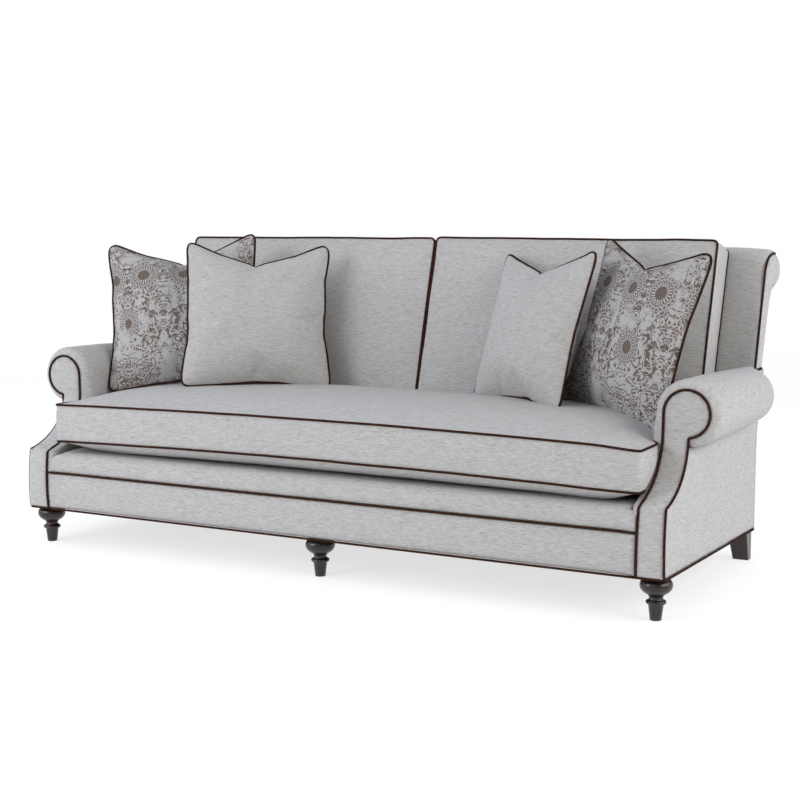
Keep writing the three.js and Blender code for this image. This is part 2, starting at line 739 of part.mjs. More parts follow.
function arms() {
  const stumpRear = FACING_SETBACK + FACING_THICKNESS + GAP + ARM_STUMP_DEPTH;
  const standOn = RAIL_TOP + GAP;
  const behindFacing = FACING_THICKNESS + GAP + GAP;
  const stump = behindProfile(behindFacing, standOn, stumpRear, stumpTop);
  const x = [railInner, frameHalf];
  addPair('arm_stump', prismX(stump, ...x), 'hardwood');

  const railLow = stumpTop - ARM_RAIL_HEIGHT;
  const postFace = (z) => outsideBackAt(z) - PANEL_THICKNESS - GAP - POST_DEPTH;
  const railRange = [stumpRear + GAP, postFace(railLow) - GAP];
  addPair('arm_rail', box(x, railRange, [railLow, stumpTop]), 'hardwood');

  const outsideTop = ROLL_CENTRE_HEIGHT - Math.sqrt(ROLL_RADIUS ** 2 - (halfWidth - rollX) ** 2) - GAP;
  const outside = behindProfile(
    WELT_RADIUS + GAP,
    baseBottom,
    BASE_DEPTH - PANEL_THICKNESS - GAP,
    outsideTop,
  );
  const outsidePanel = prismX(outside, frameHalf + GAP, halfWidth);
  addPair('arm_outside', cut(outsidePanel, facingCutter()), 'linen');

  const lipRadius = ROLL_RADIUS - ROLL_FACE_RADIUS;
  const tail = ROLL_REAR - ROLL_REAR_ROUNDING;
  const lip = new THREE.EllipseCurve(
    ROLL_FACE_RADIUS,
    FACING_SETBACK + lipRadius,
    lipRadius,
    lipRadius,
    -Math.PI / 2,
    0,
  );
  const end = new THREE.EllipseCurve(
    ROLL_RADIUS - ROLL_REAR_ROUNDING,
    tail,
    ROLL_REAR_ROUNDING,
    ROLL_REAR_ROUNDING,
    0,
    Math.PI / 2,
  );
  const rollOutline = [v2(0, FACING_SETBACK), ...lip.getPoints(3), ...end.getPoints(3), v2(0, ROLL_REAR)];
  const roll = new THREE.LatheGeometry(rollOutline, 20).translate(rollX, 0, ROLL_CENTRE_HEIGHT);
  const floor = standOn;
  const padRear = ROLL_REAR;
  const inside = behindProfile(behindFacing, floor, padRear, ROLL_CENTRE_HEIGHT);
  const slab = prismX(inside, armInner, armInner + ARM_PAD_THICKNESS - GAP);
  const corner = new THREE.EllipseCurve(
    armInner + lipRadius,
    FACING_SETBACK + lipRadius,
    lipRadius,
    lipRadius,
    Math.PI,
    Math.PI * 1.5,
  );
  const heelFoot = outsideTop + GAP;
  const heelFace = (z) => v2(insideBackAt(z) - BACK_DISH, z);
  const heelOutline = [heelFace(heelFoot), v2(scrollY, heelFoot), v2(scrollY, rollTop), heelFace(rollTop)];
  const heel = prismX(heelOutline, armInner, halfWidth);
  const brow = [...corner.getPoints(3), v2(railInner - GAP, FACING_SETBACK), v2(railInner - GAP, stumpRear)];
  const browPiece = prismZ([...brow, v2(armInner, stumpRear)], sweepTop, ROLL_CENTRE_HEIGHT);
  const grow = (range, by = GAP) => [range[0] - by, range[1] + by];
  const outsideRear = [
    v2(outsideBackAt(floor) - PANEL_THICKNESS - GAP, floor - OVERRUN),
    v2(scrollY, floor - OVERRUN),
    v2(scrollY, rollTop + OVERRUN),
    v2(outsideBackAt(rollTop + OVERRUN) - PANEL_THICKNESS - GAP, rollTop + OVERRUN),
    v2(outsideBackAt(OUTSIDE_BREAK_HEIGHT) - PANEL_THICKNESS - GAP, OUTSIDE_BREAK_HEIGHT),
  ];
  const pad = cut(
    join(slab, roll, browPiece, heel),
    facingCutter(),
    prismX(behindProfile(behindFacing - GAP, floor - OVERRUN, stumpRear + GAP, stumpTop + GAP), ...grow(x)),
    box(grow(x), grow(railRange, GAP * 2), grow([railLow, stumpTop])),
    prismX(backPost(GAP), ...grow(x)),
    box([armInner - OVERRUN, railInner], [railRear - POST_DEPTH - GAP, ROLL_REAR], [0, tackTop + GAP]),
    prismX(outsideRear, ...armReach),
  );
  addPair('arm_pad', pad, 'linen');
  armFacing();
  armWelt();
}

// Side view of a back post in (y, z)
function backPost(room = 0) {
  const rear = (z) => outsideBackAt(z) - PANEL_THICKNESS - GAP + room;
  const front = (z) => rear(z) - POST_DEPTH - room - room;
  const low = RAIL_TOP + GAP - room;
  const top = POST_TOP + room;
  const bend = OUTSIDE_BREAK_HEIGHT;
  return [
    v2(front(low), low),
    v2(rear(low), low),
    v2(rear(bend), bend),
    v2(rear(top), top),
    v2(front(top), top),
    v2(front(bend), bend),
  ];
}

// Side view of the padded back in (y, z), as it is at its sides
function backOutline(floor) {
  const face = (z) => insideBackAt(z) - BACK_DISH;
  const rear = (z) => outsideBackAt(z) - PANEL_THICKNESS - GAP;
  const shoulder = SCROLL_HEIGHT - SCROLL_RADIUS * 0.35;
  const over = new THREE.QuadraticBezierCurve(
    v2(face(shoulder), shoulder),
    v2(face(SCROLL_HEIGHT + SCROLL_RADIUS * 0.75), SCROLL_HEIGHT + SCROLL_RADIUS * 0.98),
    v2(scrollY, SCROLL_HEIGHT + SCROLL_RADIUS),
  );
  const roll = new THREE.EllipseCurve(
    scrollY,
    SCROLL_HEIGHT,
    SCROLL_RADIUS,
    SCROLL_RADIUS,
    Math.PI / 2,
    -Math.PI * 0.55,
    true,
  );
  const under = SCROLL_HEIGHT - SCROLL_RADIUS - GAP;
  const points = [v2(face(floor), floor), ...over.getPoints(5), ...roll.getPoints(9).slice(1)];
  points.push(v2(rear(under), under), v2(rear(OUTSIDE_BREAK_HEIGHT), OUTSIDE_BREAK_HEIGHT));
  points.push(v2(rear(floor), floor));
  return points.reverse();
}

// Side view of the hollow between the back's side strips, where the cushions lean, from a height up
function dishOutline(floor) {
  const shoulder = SCROLL_HEIGHT - SCROLL_RADIUS * 0.35;
  const top = SCROLL_HEIGHT + SCROLL_RADIUS * 1.2;
  const brim = new THREE.QuadraticBezierCurve(
    v2(insideBackAt(shoulder), shoulder),
    v2(insideBackAt(SCROLL_HEIGHT + SCROLL_RADIUS * 0.4), SCROLL_HEIGHT + SCROLL_RADIUS * 0.7),
    v2(scrollY - SCROLL_RADIUS * 0.35, top),
  );
  const before = insideBackAt(floor) - BACK_DISH - OVERRUN;
  return [v2(before, floor), v2(insideBackAt(floor), floor), ...brim.getPoints(4), v2(before, top)];
}

function back() {
  const x = [railInner, frameHalf];
  const post = prismX(backPost(), ...x);
  addPair('back_post', post, 'hardwood');
  const postInner = railInner - GAP;
  const tackZ = [RAIL_TOP + GAP, tackTop];
  const tack = box([-postInner, postInner], [railRear - POST_DEPTH, railRear], tackZ);
  add('tack_rail', tack, 'hardwood');

  const railTop = POST_TOP - GAP;
  const railRearAt = (z) => outsideBackAt(z) - PANEL_THICKNESS - (POST_DEPTH - BACK_RAIL_THICKNESS) / 2;
  const crossRail = (room) => {
    const [low, high] = [railTop - BACK_RAIL_HEIGHT - room, railTop + room];
    const rearAt = (z) => railRearAt(z) + room;
    const frontAt = (z) => rearAt(z) - BACK_RAIL_THICKNESS - room - room;
    return [v2(frontAt(low), low), v2(rearAt(low), low), v2(rearAt(high), high), v2(frontAt(high), high)];
  };
  add('back_top_rail', prismX(crossRail(0), -postInner, postInner), 'hardwood');

  const padFloor = tackTop + GAP;
  const wingFloor = rollTop + GAP;
  const half = halfWidth - BACK_END_WIDTH;
  const between = armInner - GAP;
  const grow = (range) => [range[0] - GAP, range[1] + GAP];
  const mirrored = grow([-x[1], -x[0]]);
  const overArm = [[between, halfWidth], [-halfWidth, -between]].map((range) =>
    box(range, [0, scrollY + OVERRUN], [0, wingFloor]),
  );
  const pad = cut(
    prismX(backOutline(padFloor), -half, half),
    prismX(dishOutline(padFloor - OVERRUN), -between, between),
    ...overArm,
    prismX(backPost(GAP), ...grow(x)),
    prismX(backPost(GAP), ...mirrored),
    prismX(crossRail(GAP), -postInner - GAP, postInner + GAP),
  );
  add('back_pad', pad, 'linen');

  const under = SCROLL_HEIGHT - SCROLL_RADIUS - GAP - GAP;
  const skin = [
    v2(BASE_DEPTH - PANEL_THICKNESS, baseBottom),
    v2(BASE_DEPTH, baseBottom),
    v2(BASE_DEPTH, OUTSIDE_BREAK_HEIGHT),
    v2(outsideBackAt(under), under),
    v2(outsideBackAt(under) - PANEL_THICKNESS, under),
    v2(BASE_DEPTH - PANEL_THICKNESS, OUTSIDE_BREAK_HEIGHT),
  ];
  const beside = [half, halfWidth + OVERRUN];
  const ends = [beside, beside.map((at) => -at).reverse()].map((range) =>
    box(range, [0, ROLL_REAR + BASE_DEPTH], [rollTop, rollTop + BASE_DEPTH]),
  );
  add('back_outside', cut(prismX(skin, -halfWidth, halfWidth), ...ends), 'linen');
  backEnds(half);
}

// The seam round the back's end panel in (y, z)
function endOutline() {
  const floor = rollTop + GAP + WELT_OFFSET;
  const front = (z) => insideBackAt(z) - BACK_DISH + WELT_RADIUS;
  const rear = (z) => outsideBackAt(z) - WELT_RADIUS;
  const radius = SCROLL_SEAM_RADIUS;
  const shoulder = SCROLL_HEIGHT - SCROLL_RADIUS * 0.25;
  const over = new THREE.QuadraticBezierCurve(
    v2(front(shoulder), shoulder),
    v2(front(SCROLL_HEIGHT + radius * 0.9), SCROLL_HEIGHT + radius * 0.95),
    v2(scrollY, SCROLL_HEIGHT + radius),
  );
  const roll = new THREE.EllipseCurve(
    scrollY,
    SCROLL_HEIGHT,
    radius,
    radius,
    Math.PI / 2,
    -Math.PI * 0.62,
    true,
  );
  const under = SCROLL_HEIGHT - SCROLL_RADIUS * 1.15;
  return [
    v2(front(floor), floor),
    ...over.getPoints(5),
    ...roll.getPoints(8).slice(1),
    v2(rear(under), under),
    v2(rear(floor), floor),
  ].reverse();
}

function backEnds(half) {
  const outline = endOutline();
  const inside = offset(outline, WELT_OFFSET, true);
  addPair('back_end', prismX(inside, half + GAP, halfWidth), 'linen');
  const x = half + WELT_OFFSET;
  const loop = outline.map((p) => v3(x, p.x, p.y));
  addPair('back_end_welt', cord(loop, loop.map(() => v3(1, 0, 0))), 'piping');
}

function seatCushion() {
  const halfZ = SEAT_BOXING / 2;
  const halfX = armInner - SEAT_SIDE_CLEARANCE;
  const rear = insideBackAt(SEAT_END_SEAM_HEIGHT - SEAT_BOXING) - WELT_RADIUS * Math.SQRT2 - GAP;
  const halfY = (rear + SEAT_FRONT_OVERHANG) / 2;
  const middle = SEAT_END_SEAM_HEIGHT - halfZ;
  const { geometry, seam } = boxedCushion({
    halfX,
    halfY,
    halfZ,
    radius: SEAT_CORNER_RADIUS,
    drawIn: SEAT_DRAW_IN,
    bulge: SEAT_BULGE,
    rise: SEAT_SEAM_RISE,
    crown: SEAT_CROWN,
    belly: SEAT_BELLY,
    rest: DECK_HEIGHT + GAP - middle,
    crownPowerX: 8,
    crownPowerY: 2.4,
    acrossShares: [0.88, 0.7, 0.48, 0.24],
    deepShares: [0.72, 0.45, 0.15],
  });
  const group = new THREE.Group();
  group.position.set(0, halfY - SEAT_FRONT_OVERHANG, middle);
  sofa.add(group);
  add('seat_cushion_bottom_welt', seamCord(seam(-1)), 'piping', group);
  return [
    add('seat_cushion', geometry, 'linen', group),
    add('seat_cushion_top_welt', seamCord(seam(1)), 'piping', group),
  ];
}

// A mesh where it stands, as a solid
function placed(mesh) {
  mesh.updateWorldMatrix(true, false);
  return solid(mesh.geometry).transform(mesh.matrixWorld.elements);
}

// Lowers a group until its mesh rests on the supports, halving the doubt at each step.
function settle(group, mesh, supports) {
  const below = supports.map(placed);
  let sunk = DECK_HEIGHT;
  let clear = DECK_HEIGHT + SEAT_BOXING + BACK_CUSHION_HEIGHT;
  while (clear - sunk > GAP / 4) {
    group.position.z = (clear + sunk) / 2;
    const body = placed(mesh);
    if (below.every((support) => support.intersect(body).isEmpty())) clear = group.position.z;
    else sunk = group.position.z;
  }
  group.position.z = clear + GAP / 2;
}

function backCushions(seat) {
  const beside = WELT_RADIUS * Math.SQRT2 + GAP / 2; // from the middle of the sofa to a cushion
  const halfX = (armInner - BACK_CUSHION_SIDE_CLEARANCE - beside - beside) / 2;
  const halfY = BACK_CUSHION_HEIGHT / 2;
  const halfZ = BACK_CUSHION_BOXING / 2;
  const rake = THREE.MathUtils.degToRad(BACK_RAKE);
  const { geometry, seam } = boxedCushion({
    halfX,
    halfY,
    halfZ,
    radius: BACK_CUSHION_CORNER_RADIUS,
    drawIn: BACK_CUSHION_DRAW_IN,
    bulge: BACK_CUSHION_BULGE,
    crown: BACK_CUSHION_CROWN,
    belly: BACK_CUSHION_REAR_CROWN,
    crownPowerX: 3.4,
    crownPowerY: 3,
    acrossShares: [0.8, 0.5, 0.17],
    deepShares: [0.75, 0.45, 0.15],
  });
  const standoff = (halfZ + BACK_CUSHION_REAR_CROWN + GAP) / Math.cos(rake);
  const meshes = {};
  for (const [name, side] of [
    ['right', 1],
    ['left', -1],
  ]) {
    const group = new THREE.Group();
    group.position.x = side * (halfX + beside);
    group.position.z = DECK_HEIGHT + SEAT_BOXING + halfY;
    group.rotation.x = Math.PI / 2 - rake;
    sofa.add(group);
    meshes[name] = add(`back_cushion_${name}`, geometry, 'linen', group);
    for (let pass = 0; pass < 3; pass += 1) {
      group.position.y = insideBackAt(group.position.z) - standoff;
      settle(group, meshes[name], seat);
    }
    add(`back_cushion_${name}_welt`, seamCord(seam(1)), 'piping', group);
  }
  return meshes;
}

function pillowGeometry() {
  const half = PILLOW_SIDE / 2;
  const halfZ = PILLOW_THICKNESS / 2;
  const rimHalf = PILLOW_RIM / 2;
  const shares = [-1, -0.94, -0.75, -0.4, 0, 0.4, 0.75, 0.94, 1];
  const place = (u, v, w) => {
    const pull = PILLOW_CORNER_PULL * (Math.abs(u * v) === 1 ? 1 : 0);
    const x = (half - pull - PILLOW_DRAW_IN * (1 - v * v)) * u;
    const dent = v > 0 ? PILLOW_DENT * (1 - Math.abs(u)) * v ** 5 : 0;
    const y = (half - pull - PILLOW_DRAW_IN * (1 - u * u)) * v - dent;
    const full = Math.sqrt(1 - u * u) * Math.sqrt(1 - v * v);
    return v3(x, y, w * (rimHalf + (halfZ - rimHalf) * full));
  };
  return quilt(shares, shares, [-1, 1], place);
}

// The pillows stand in pairs, the patterned one in the corner by the arm and the plain one in
// front of it. Shares are of the pillow's side or of its thickness.
const PILLOW_PAIRS = [
  {
    side: -1,
    name: 'left',
    patterned: { yaw: 27.6, lean: 17, roll: 3, armShare: 0.02, standoffShare: 1.03 },
    plain: { yaw: 31.1, lean: 13, roll: -1, alongShare: 0.54, forwardShare: 0.86 },
  },
  {
    side: 1,
    name: 'right',
    patterned: { yaw: 34.4, lean: 17.5, roll: -2.5, armShare: 0.055, standoffShare: 0.6 },
    plain: { yaw: 31.9, lean: 16.5, roll: 0, alongShare: 0.64, forwardShare: 1.09 },
  },
];

function pillows(seat) {
  const geometry = pillowGeometry();
  const half = PILLOW_SIDE / 2;
  const cushionFront = (z) => insideBackAt(z) - BACK_CUSHION_BOXING / Math.cos(THREE.MathUtils.degToRad(BACK_RAKE));
  const stand = (name, finish, side, turn, x, y) => {
    const group = new THREE.Group();
    const lean = THREE.MathUtils.degToRad(turn.lean);
    const yaw = -side * THREE.MathUtils.degToRad(turn.yaw);
    group.rotation.set(Math.PI / 2 - lean, 0, yaw, 'ZXY');
    group.position.set(x, y, SEAT_END_SEAM_HEIGHT + half);
    sofa.add(group);
    const mesh = add(name, geometry, finish, group);
    mesh.rotation.z = THREE.MathUtils.degToRad(turn.roll);
    settle(group, mesh, seat);
    return group;
  };
  for (const { side, name, patterned, plain } of PILLOW_PAIRS) {
    const yaw = THREE.MathUtils.degToRad(patterned.yaw);
    const lean = THREE.MathUtils.degToRad(patterned.lean);
    const clear = patterned.armShare * PILLOW_SIDE;
    const x = armInner - clear - half * Math.cos(yaw) + half * Math.sin(lean) * Math.sin(yaw);
    const z = SEAT_END_SEAM_HEIGHT + half;
    const y = cushionFront(z) - half * Math.sin(yaw) - patterned.standoffShare * PILLOW_THICKNESS;
    const corner = stand(`pillow_patterned_${name}`, 'print', side, patterned, side * x, y);
    const along = v3(1, 0, 0).applyEuler(corner.rotation);
    const forward = v3(0, 0, 1).applyEuler(corner.rotation);
    const place = corner.position.clone();
    place.addScaledVector(along, -side * plain.alongShare * PILLOW_SIDE);
    place.addScaledVector(forward, plain.forwardShare * PILLOW_THICKNESS);
    stand(`pillow_plain_${name}`, 'linen', side, plain, place.x, place.y);
  }
}

const legPlaces = legsAndBolts();
baseFrame(legPlaces.bores);
springs();
deck();
dustCover(legPlaces);
baseWelt();
arms();
back();
const seat = seatCushion();
sofa.updateMatrixWorld(true);
backCushions(seat);
pillows(seat);

sofa.rotation.x = -tilt;
const bounds = new THREE.Box3().setFromObject(sofa, true);
const centre = bounds.getCenter(v3());
sofa.position.set(-centre.x, -centre.y, -bounds.min.z);

const part = new THREE.Group();
part.add(sofa);

export default part;
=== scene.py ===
# %% [markdown]
# # English roll arm sofa
# This lesson dresses a CAD frame of a three-seat sofa. The frame brings every solid and every
# joint. Blender brings the covers, the stuffing, the cords in the seams, the finishes and the light.
# The frame loads first, because each later piece stands where the frame says.

# %% Load the frame
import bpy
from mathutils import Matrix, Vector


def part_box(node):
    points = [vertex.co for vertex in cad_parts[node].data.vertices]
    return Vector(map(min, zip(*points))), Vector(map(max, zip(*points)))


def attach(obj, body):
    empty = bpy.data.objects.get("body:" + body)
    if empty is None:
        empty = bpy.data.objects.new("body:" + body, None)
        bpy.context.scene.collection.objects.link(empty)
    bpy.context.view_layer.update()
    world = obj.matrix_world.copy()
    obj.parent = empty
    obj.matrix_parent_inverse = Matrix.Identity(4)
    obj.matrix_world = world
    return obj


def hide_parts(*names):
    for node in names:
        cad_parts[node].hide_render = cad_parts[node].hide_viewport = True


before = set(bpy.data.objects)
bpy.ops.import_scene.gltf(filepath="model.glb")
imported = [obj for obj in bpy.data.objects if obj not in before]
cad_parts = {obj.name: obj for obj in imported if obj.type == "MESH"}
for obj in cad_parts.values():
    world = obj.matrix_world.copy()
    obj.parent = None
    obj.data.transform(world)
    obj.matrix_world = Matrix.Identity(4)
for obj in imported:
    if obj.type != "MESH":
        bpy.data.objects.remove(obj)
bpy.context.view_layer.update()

# %% Tools
import math

import bmesh
import bpy
import numpy as np
from mathutils import Matrix, Vector, geometry, noise

# %% [markdown]
# ## The sofa's own frame
# The sofa is drawn level, in millimetres: x to the right, y from the base's front face to the
# rear and z up. It then leans back a little, because its rear legs are shorter. One matrix takes a
# point from that drawing to the world, so each piece can be drawn straight.

# %% From the drawing to the world
MM = 0.001
LEAN_BACK = 0.0378497  # radians
SHIFT = (0, -0.505096, 0.0017785)
SOFA = Matrix.Translation(SHIFT) @ Matrix.Rotation(-LEAN_BACK, 4, "X")
SOFA_TURN = np.array(SOFA.to_3x3())


def to_world(points):
    return np.asarray(points, float) * MM @ SOFA_TURN.T + np.array(SHIFT)


print("a point 1 m up moves to", np.round(to_world([0, 0, 1000]), 4))

# %% [markdown]
# ## Camera
# The camera stands where the sofa was seen from: to the right of its front, a little above the
# seat, with a long lens. Its place was found by fitting the sofa's straight edges.

# %% Camera
CAMERA_PLACE = Vector((2.3329, -4.0850, 1.1425))
CAMERA_RIGHT = Vector((0.87083, 0.49123, -0.01860))
CAMERA_AHEAD = Vector((-0.48840, 0.86027, -0.14628))
FOCAL_SHARE = 1540 / 800  # focal length over the picture's width

camera_data = bpy.data.cameras.new("camera")
camera_data.sensor_width = 36
camera_data.lens = camera_data.sensor_width * FOCAL_SHARE
camera = bpy.data.objects.new("camera", camera_data)
bpy.context.scene.collection.objects.link(camera)
ahead = CAMERA_AHEAD.normalized()
right = (CAMERA_RIGHT - ahead * CAMERA_RIGHT.dot(ahead)).normalized()
camera_turn = Matrix((right, right.cross(ahead), -ahead)).transposed().to_4x4()
camera.matrix_world = Matrix.Translation(CAMERA_PLACE) @ camera_turn
bpy.context.scene.camera = camera
print("lens, mm:", round(camera_data.lens, 1))

# %% [markdown]
# ## Node helpers
# Light and materials are graphs of nodes. These helpers keep the graphs readable: one adds a node
# and fills or links its inputs, and the others take one step of arithmetic, noise or mixing each.


# %% Node helpers
def put(tree, value, socket):
    """Links another socket's value into a socket, or sets a plain value."""
    if isinstance(value, bpy.types.NodeSocket):
        tree.links.new(value, socket)
    else:
        socket.default_value = value


def add_node(tree, kind, inputs=(), **settings):
    """Adds a node. Inputs is a dict of socket name or number to a value or another socket."""
    node = tree.nodes.new(kind)
    for key, value in settings.items():
        setattr(node, key, value)
    for key, value in dict(inputs).items():
        put(tree, value, node.inputs[key])
    return node


def calc(tree, operation, *values):
    """One step of arithmetic, on sockets or numbers."""
    return add_node(tree, "ShaderNodeMath", dict(enumerate(values)), operation=operation).outputs[0]


def times(tree, first, second):
    return calc(tree, "MULTIPLY", first, second)


def weighted(tree, first, first_share, second, second_share):
    """The sum of two values, each times its share."""
    return calc(tree, "ADD", times(tree, first, first_share), times(tree, second, second_share))


def largest(tree, values):
    made = values[0]
    for value in values[1:]:
        made = calc(tree, "MAXIMUM", made, value)
    return made


def stripes(tree, turn):
    """Rounded ridges, one for each half turn."""
    return calc(tree, "ABSOLUTE", calc(tree, "SINE", turn))


def vector_calc(tree, operation, inputs):
    return add_node(tree, "ShaderNodeVectorMath", inputs, operation=operation).outputs[0]


def noise_value(tree, at, scale, detail, **more):
    """Noise from 0 to 1 at a place. More names its other inputs."""
    inputs = {"Vector": at, "Scale": scale, "Detail": detail, **more}
    return add_node(tree, "ShaderNodeTexNoise", inputs).outputs[0]


def ramp(tree, value, low, high):
    """0 below low, 1 above high, smooth between."""
    inputs = {"Value": value, "From Min": low, "From Max": high}
    return add_node(tree, "ShaderNodeMapRange", inputs, interpolation_type="SMOOTHSTEP").outputs[0]


def mix_colour(tree, share, first, second):
    """From the first colour to the second as the share goes from 0 to 1."""
    node = add_node(tree, "ShaderNodeMix", {0: share}, data_type="RGBA")
    for key, colour in ((6, first), (7, second)):
        put(tree, (*colour, 1) if isinstance(colour, tuple) else colour, node.inputs[key])
    return node.outputs[2]


def darker(colour, share):
    return tuple(part * share for part in colour)


def new_group(name, inputs, outputs):
    """A node group with named sockets, and its two ends."""
    group = bpy.data.node_groups.new(name, "ShaderNodeTree")
    for socket, (kind, default) in inputs.items():
        made = group.interface.new_socket(socket, in_out="INPUT", socket_type=kind)
        if default is not None:
            made.default_value = default
    for socket, kind in outputs.items():
        group.interface.new_socket(socket, in_out="OUTPUT", socket_type=kind)
    return group, group.nodes.new("NodeGroupInput"), group.nodes.new("NodeGroupOutput")


def use_group(tree, group, inputs):
    return add_node(tree, "ShaderNodeGroup", inputs, node_tree=group)


def object_place(tree):
    return add_node(tree, "ShaderNodeTexCoord").outputs["Object"]


def cloth_place(tree):
    """Lengths along the cloth in metres, from the piece's own map."""
    return add_node(tree, "ShaderNodeUVMap", uv_map="cloth").outputs[0]


def new_material(name):
    """A material whose Principled BSDF is ready to be filled in."""
    material = bpy.data.materials.new(name)
    material.use_nodes = True
    tree = material.node_tree
    return material, tree, tree.nodes["Principled BSDF"]


def settle_shader(tree, shader, colour, roughness, height, bump_distance, bump_strength=1.0, **plain):
    """Links what varies and sets what is the same all over."""
    put(tree, colour, shader.inputs["Base Color"])
    put(tree, roughness, shader.inputs["Roughness"])
    inputs = {"Height": height, "Distance": bump_distance, "Strength": bump_strength}
    put(tree, add_node(tree, "ShaderNodeBump", inputs).outputs[0], shader.inputs["Normal"])
    for key, value in plain.items():
        shader.inputs[key.replace("_", " ")].default_value = value


print("node helpers ready")

# %% [markdown]
# ## Studio
# A photograph for a catalogue is lit by large soft boxes in a white room. Here the world stands for
# the room: walls in shade, a brighter and cooler ceiling, and plain white where the camera looks
# past the sofa. Four area lamps give shape: a cool and a warm key on the right, a strong fill in
# front on the left and a weaker one beside it. The warm and cool sides keep grey linen alive.

# %% Light
WALL_COLOUR = (0.362, 0.342, 0.308)
CEILING_COLOUR = (0.698, 0.735, 0.80)
CEILING_FROM = (0.18, 0.75)  # upward share of a direction where the ceiling begins and is full
LAMPS = {  # place, watts, size in metres, colour
    "key_warm": ((4.8, -1.4, 2.5), 91, 2.4, (1.0, 0.93, 0.80)),
    "key_cool": ((4.6, 0.8, 2.0), 74, 2.4, (0.76, 0.83, 1.0)),
    "fill_front": ((-2.6, -4.4, 2.2), 121, 2.4, (0.93, 0.94, 1.0)),
    "fill_side": ((-4.4, -2.0, 2.2), 58, 2.4, (0.92, 0.92, 1.0)),
}
LAMP_AIM = Vector((0, 0, 0.45))

world = bpy.data.worlds.new("studio")
bpy.context.scene.world = world
world.use_nodes = True
tree = world.node_tree
direction = add_node(tree, "ShaderNodeTexCoord").outputs["Generated"]
upward = add_node(tree, "ShaderNodeSeparateXYZ", {0: direction}).outputs[2]
room_colour = mix_colour(tree, ramp(tree, upward, *CEILING_FROM), WALL_COLOUR, CEILING_COLOUR)
room = tree.nodes["Background"]
put(tree, room_colour, room.inputs["Color"])
backdrop = add_node(tree, "ShaderNodeBackground", {"Color": (1.0, 1.0, 1.0, 1)})
camera_ray = add_node(tree, "ShaderNodeLightPath").outputs["Is Camera Ray"]
shades = {0: camera_ray, 1: room.outputs[0], 2: backdrop.outputs[0]}
seen = add_node(tree, "ShaderNodeMixShader", shades).outputs[0]
put(tree, seen, tree.nodes["World Output"].inputs["Surface"])
for name, (place, watts, size, colour) in LAMPS.items():
    lamp_data = bpy.data.lights.new(name, "AREA")
    lamp_data.energy = watts
    lamp_data.size = size
    lamp_data.color = colour
    lamp = bpy.data.objects.new(name, lamp_data)
    lamp.location = place
    lamp.rotation_euler = (LAMP_AIM - lamp.location).to_track_quat("-Z", "Y").to_euler()
    bpy.context.scene.collection.objects.link(lamp)
bpy.context.scene.view_settings.view_transform = "Standard"
print("lamps:", sorted(LAMPS))

# %% [markdown]
# ## Floor
# The floor takes the soft shadow under the sofa. Its edge fades to nothing with distance from the
# middle, so that the same studio works from every side.

# %% Floor
FLOOR_COLOUR = (0.36, 0.362, 0.366)
FLOOR_GLOW = 0.70  # lifts the shadow, as light through a white floor does
FLOOR_RADIUS = 9.0
FLOOR_FADE = (2.6, 6.0)

floor_mesh = bpy.data.meshes.new("floor")
floor_builder = bmesh.new()
bmesh.ops.create_circle(floor_builder, cap_ends=True, segments=96, radius=FLOOR_RADIUS)
floor_builder.to_mesh(floor_mesh)
floor_builder.free()
floor = bpy.data.objects.new("floor", floor_mesh)
bpy.context.scene.collection.objects.link(floor)
floor_material, tree, shader = new_material("studio_floor")
reach = add_node(tree, "ShaderNodeVectorMath", {0: object_place(tree)}, operation="LENGTH").outputs["Value"]
fade = calc(tree, "SUBTRACT", 1.0, ramp(tree, reach, *FLOOR_FADE))
put(tree, fade, shader.inputs["Alpha"])
plain = {"Base Color": (*FLOOR_COLOUR, 1), "Roughness": 0.9, "Specular IOR Level": 0.0}
plain.update({"Emission Color": (1.0, 1.0, 1.0, 1), "Emission Strength": FLOOR_GLOW})
for key, value in plain.items():
    shader.inputs[key].default_value = value
floor_mesh.materials.append(floor_material)
print("floor radius, m:", FLOOR_RADIUS)

# %% [markdown]
# ## Woven linen
# The cover is a heavy slubbed linen. Seen close it is a plain weave of threads about a
# millimetre apart; from a step away its slubs show, the short thick places that run across the
# width in warmer and greyer threads. The group takes lengths along the cloth in metres, so the
# weave has the same scale on every piece, and gives a height, a mask of slubs and one of flecks.

# %% Weave group
weave_group, weave_in, weave_out = new_group(
    "Linen weave",
    {
        "Cloth": ("NodeSocketVector", None),
        "Thread": ("NodeSocketFloat", 0.0011),
        "Slub length": ("NodeSocketFloat", 0.016),
    },
    {"Height": "NodeSocketFloat", "Slubs": "NodeSocketFloat", "Flecks": "NodeSocketFloat"},
)
tree = weave_group
along = add_node(tree, "ShaderNodeSeparateXYZ", {0: weave_in.outputs["Cloth"]})
u, v = along.outputs[0], along.outputs[1]
thread = weave_in.outputs["Thread"]
slub_length = weave_in.outputs["Slub length"]


def streaks(tree, across, up, across_size, up_size, detail, seed):
    """Noise drawn out along one way of the cloth."""
    at = {0: calc(tree, "DIVIDE", across, across_size), 1: calc(tree, "DIVIDE", up, up_size), 2: seed}
    at = add_node(tree, "ShaderNodeCombineXYZ", at).outputs[0]
    return noise_value(tree, at, 1.0, detail, Roughness=0.6)


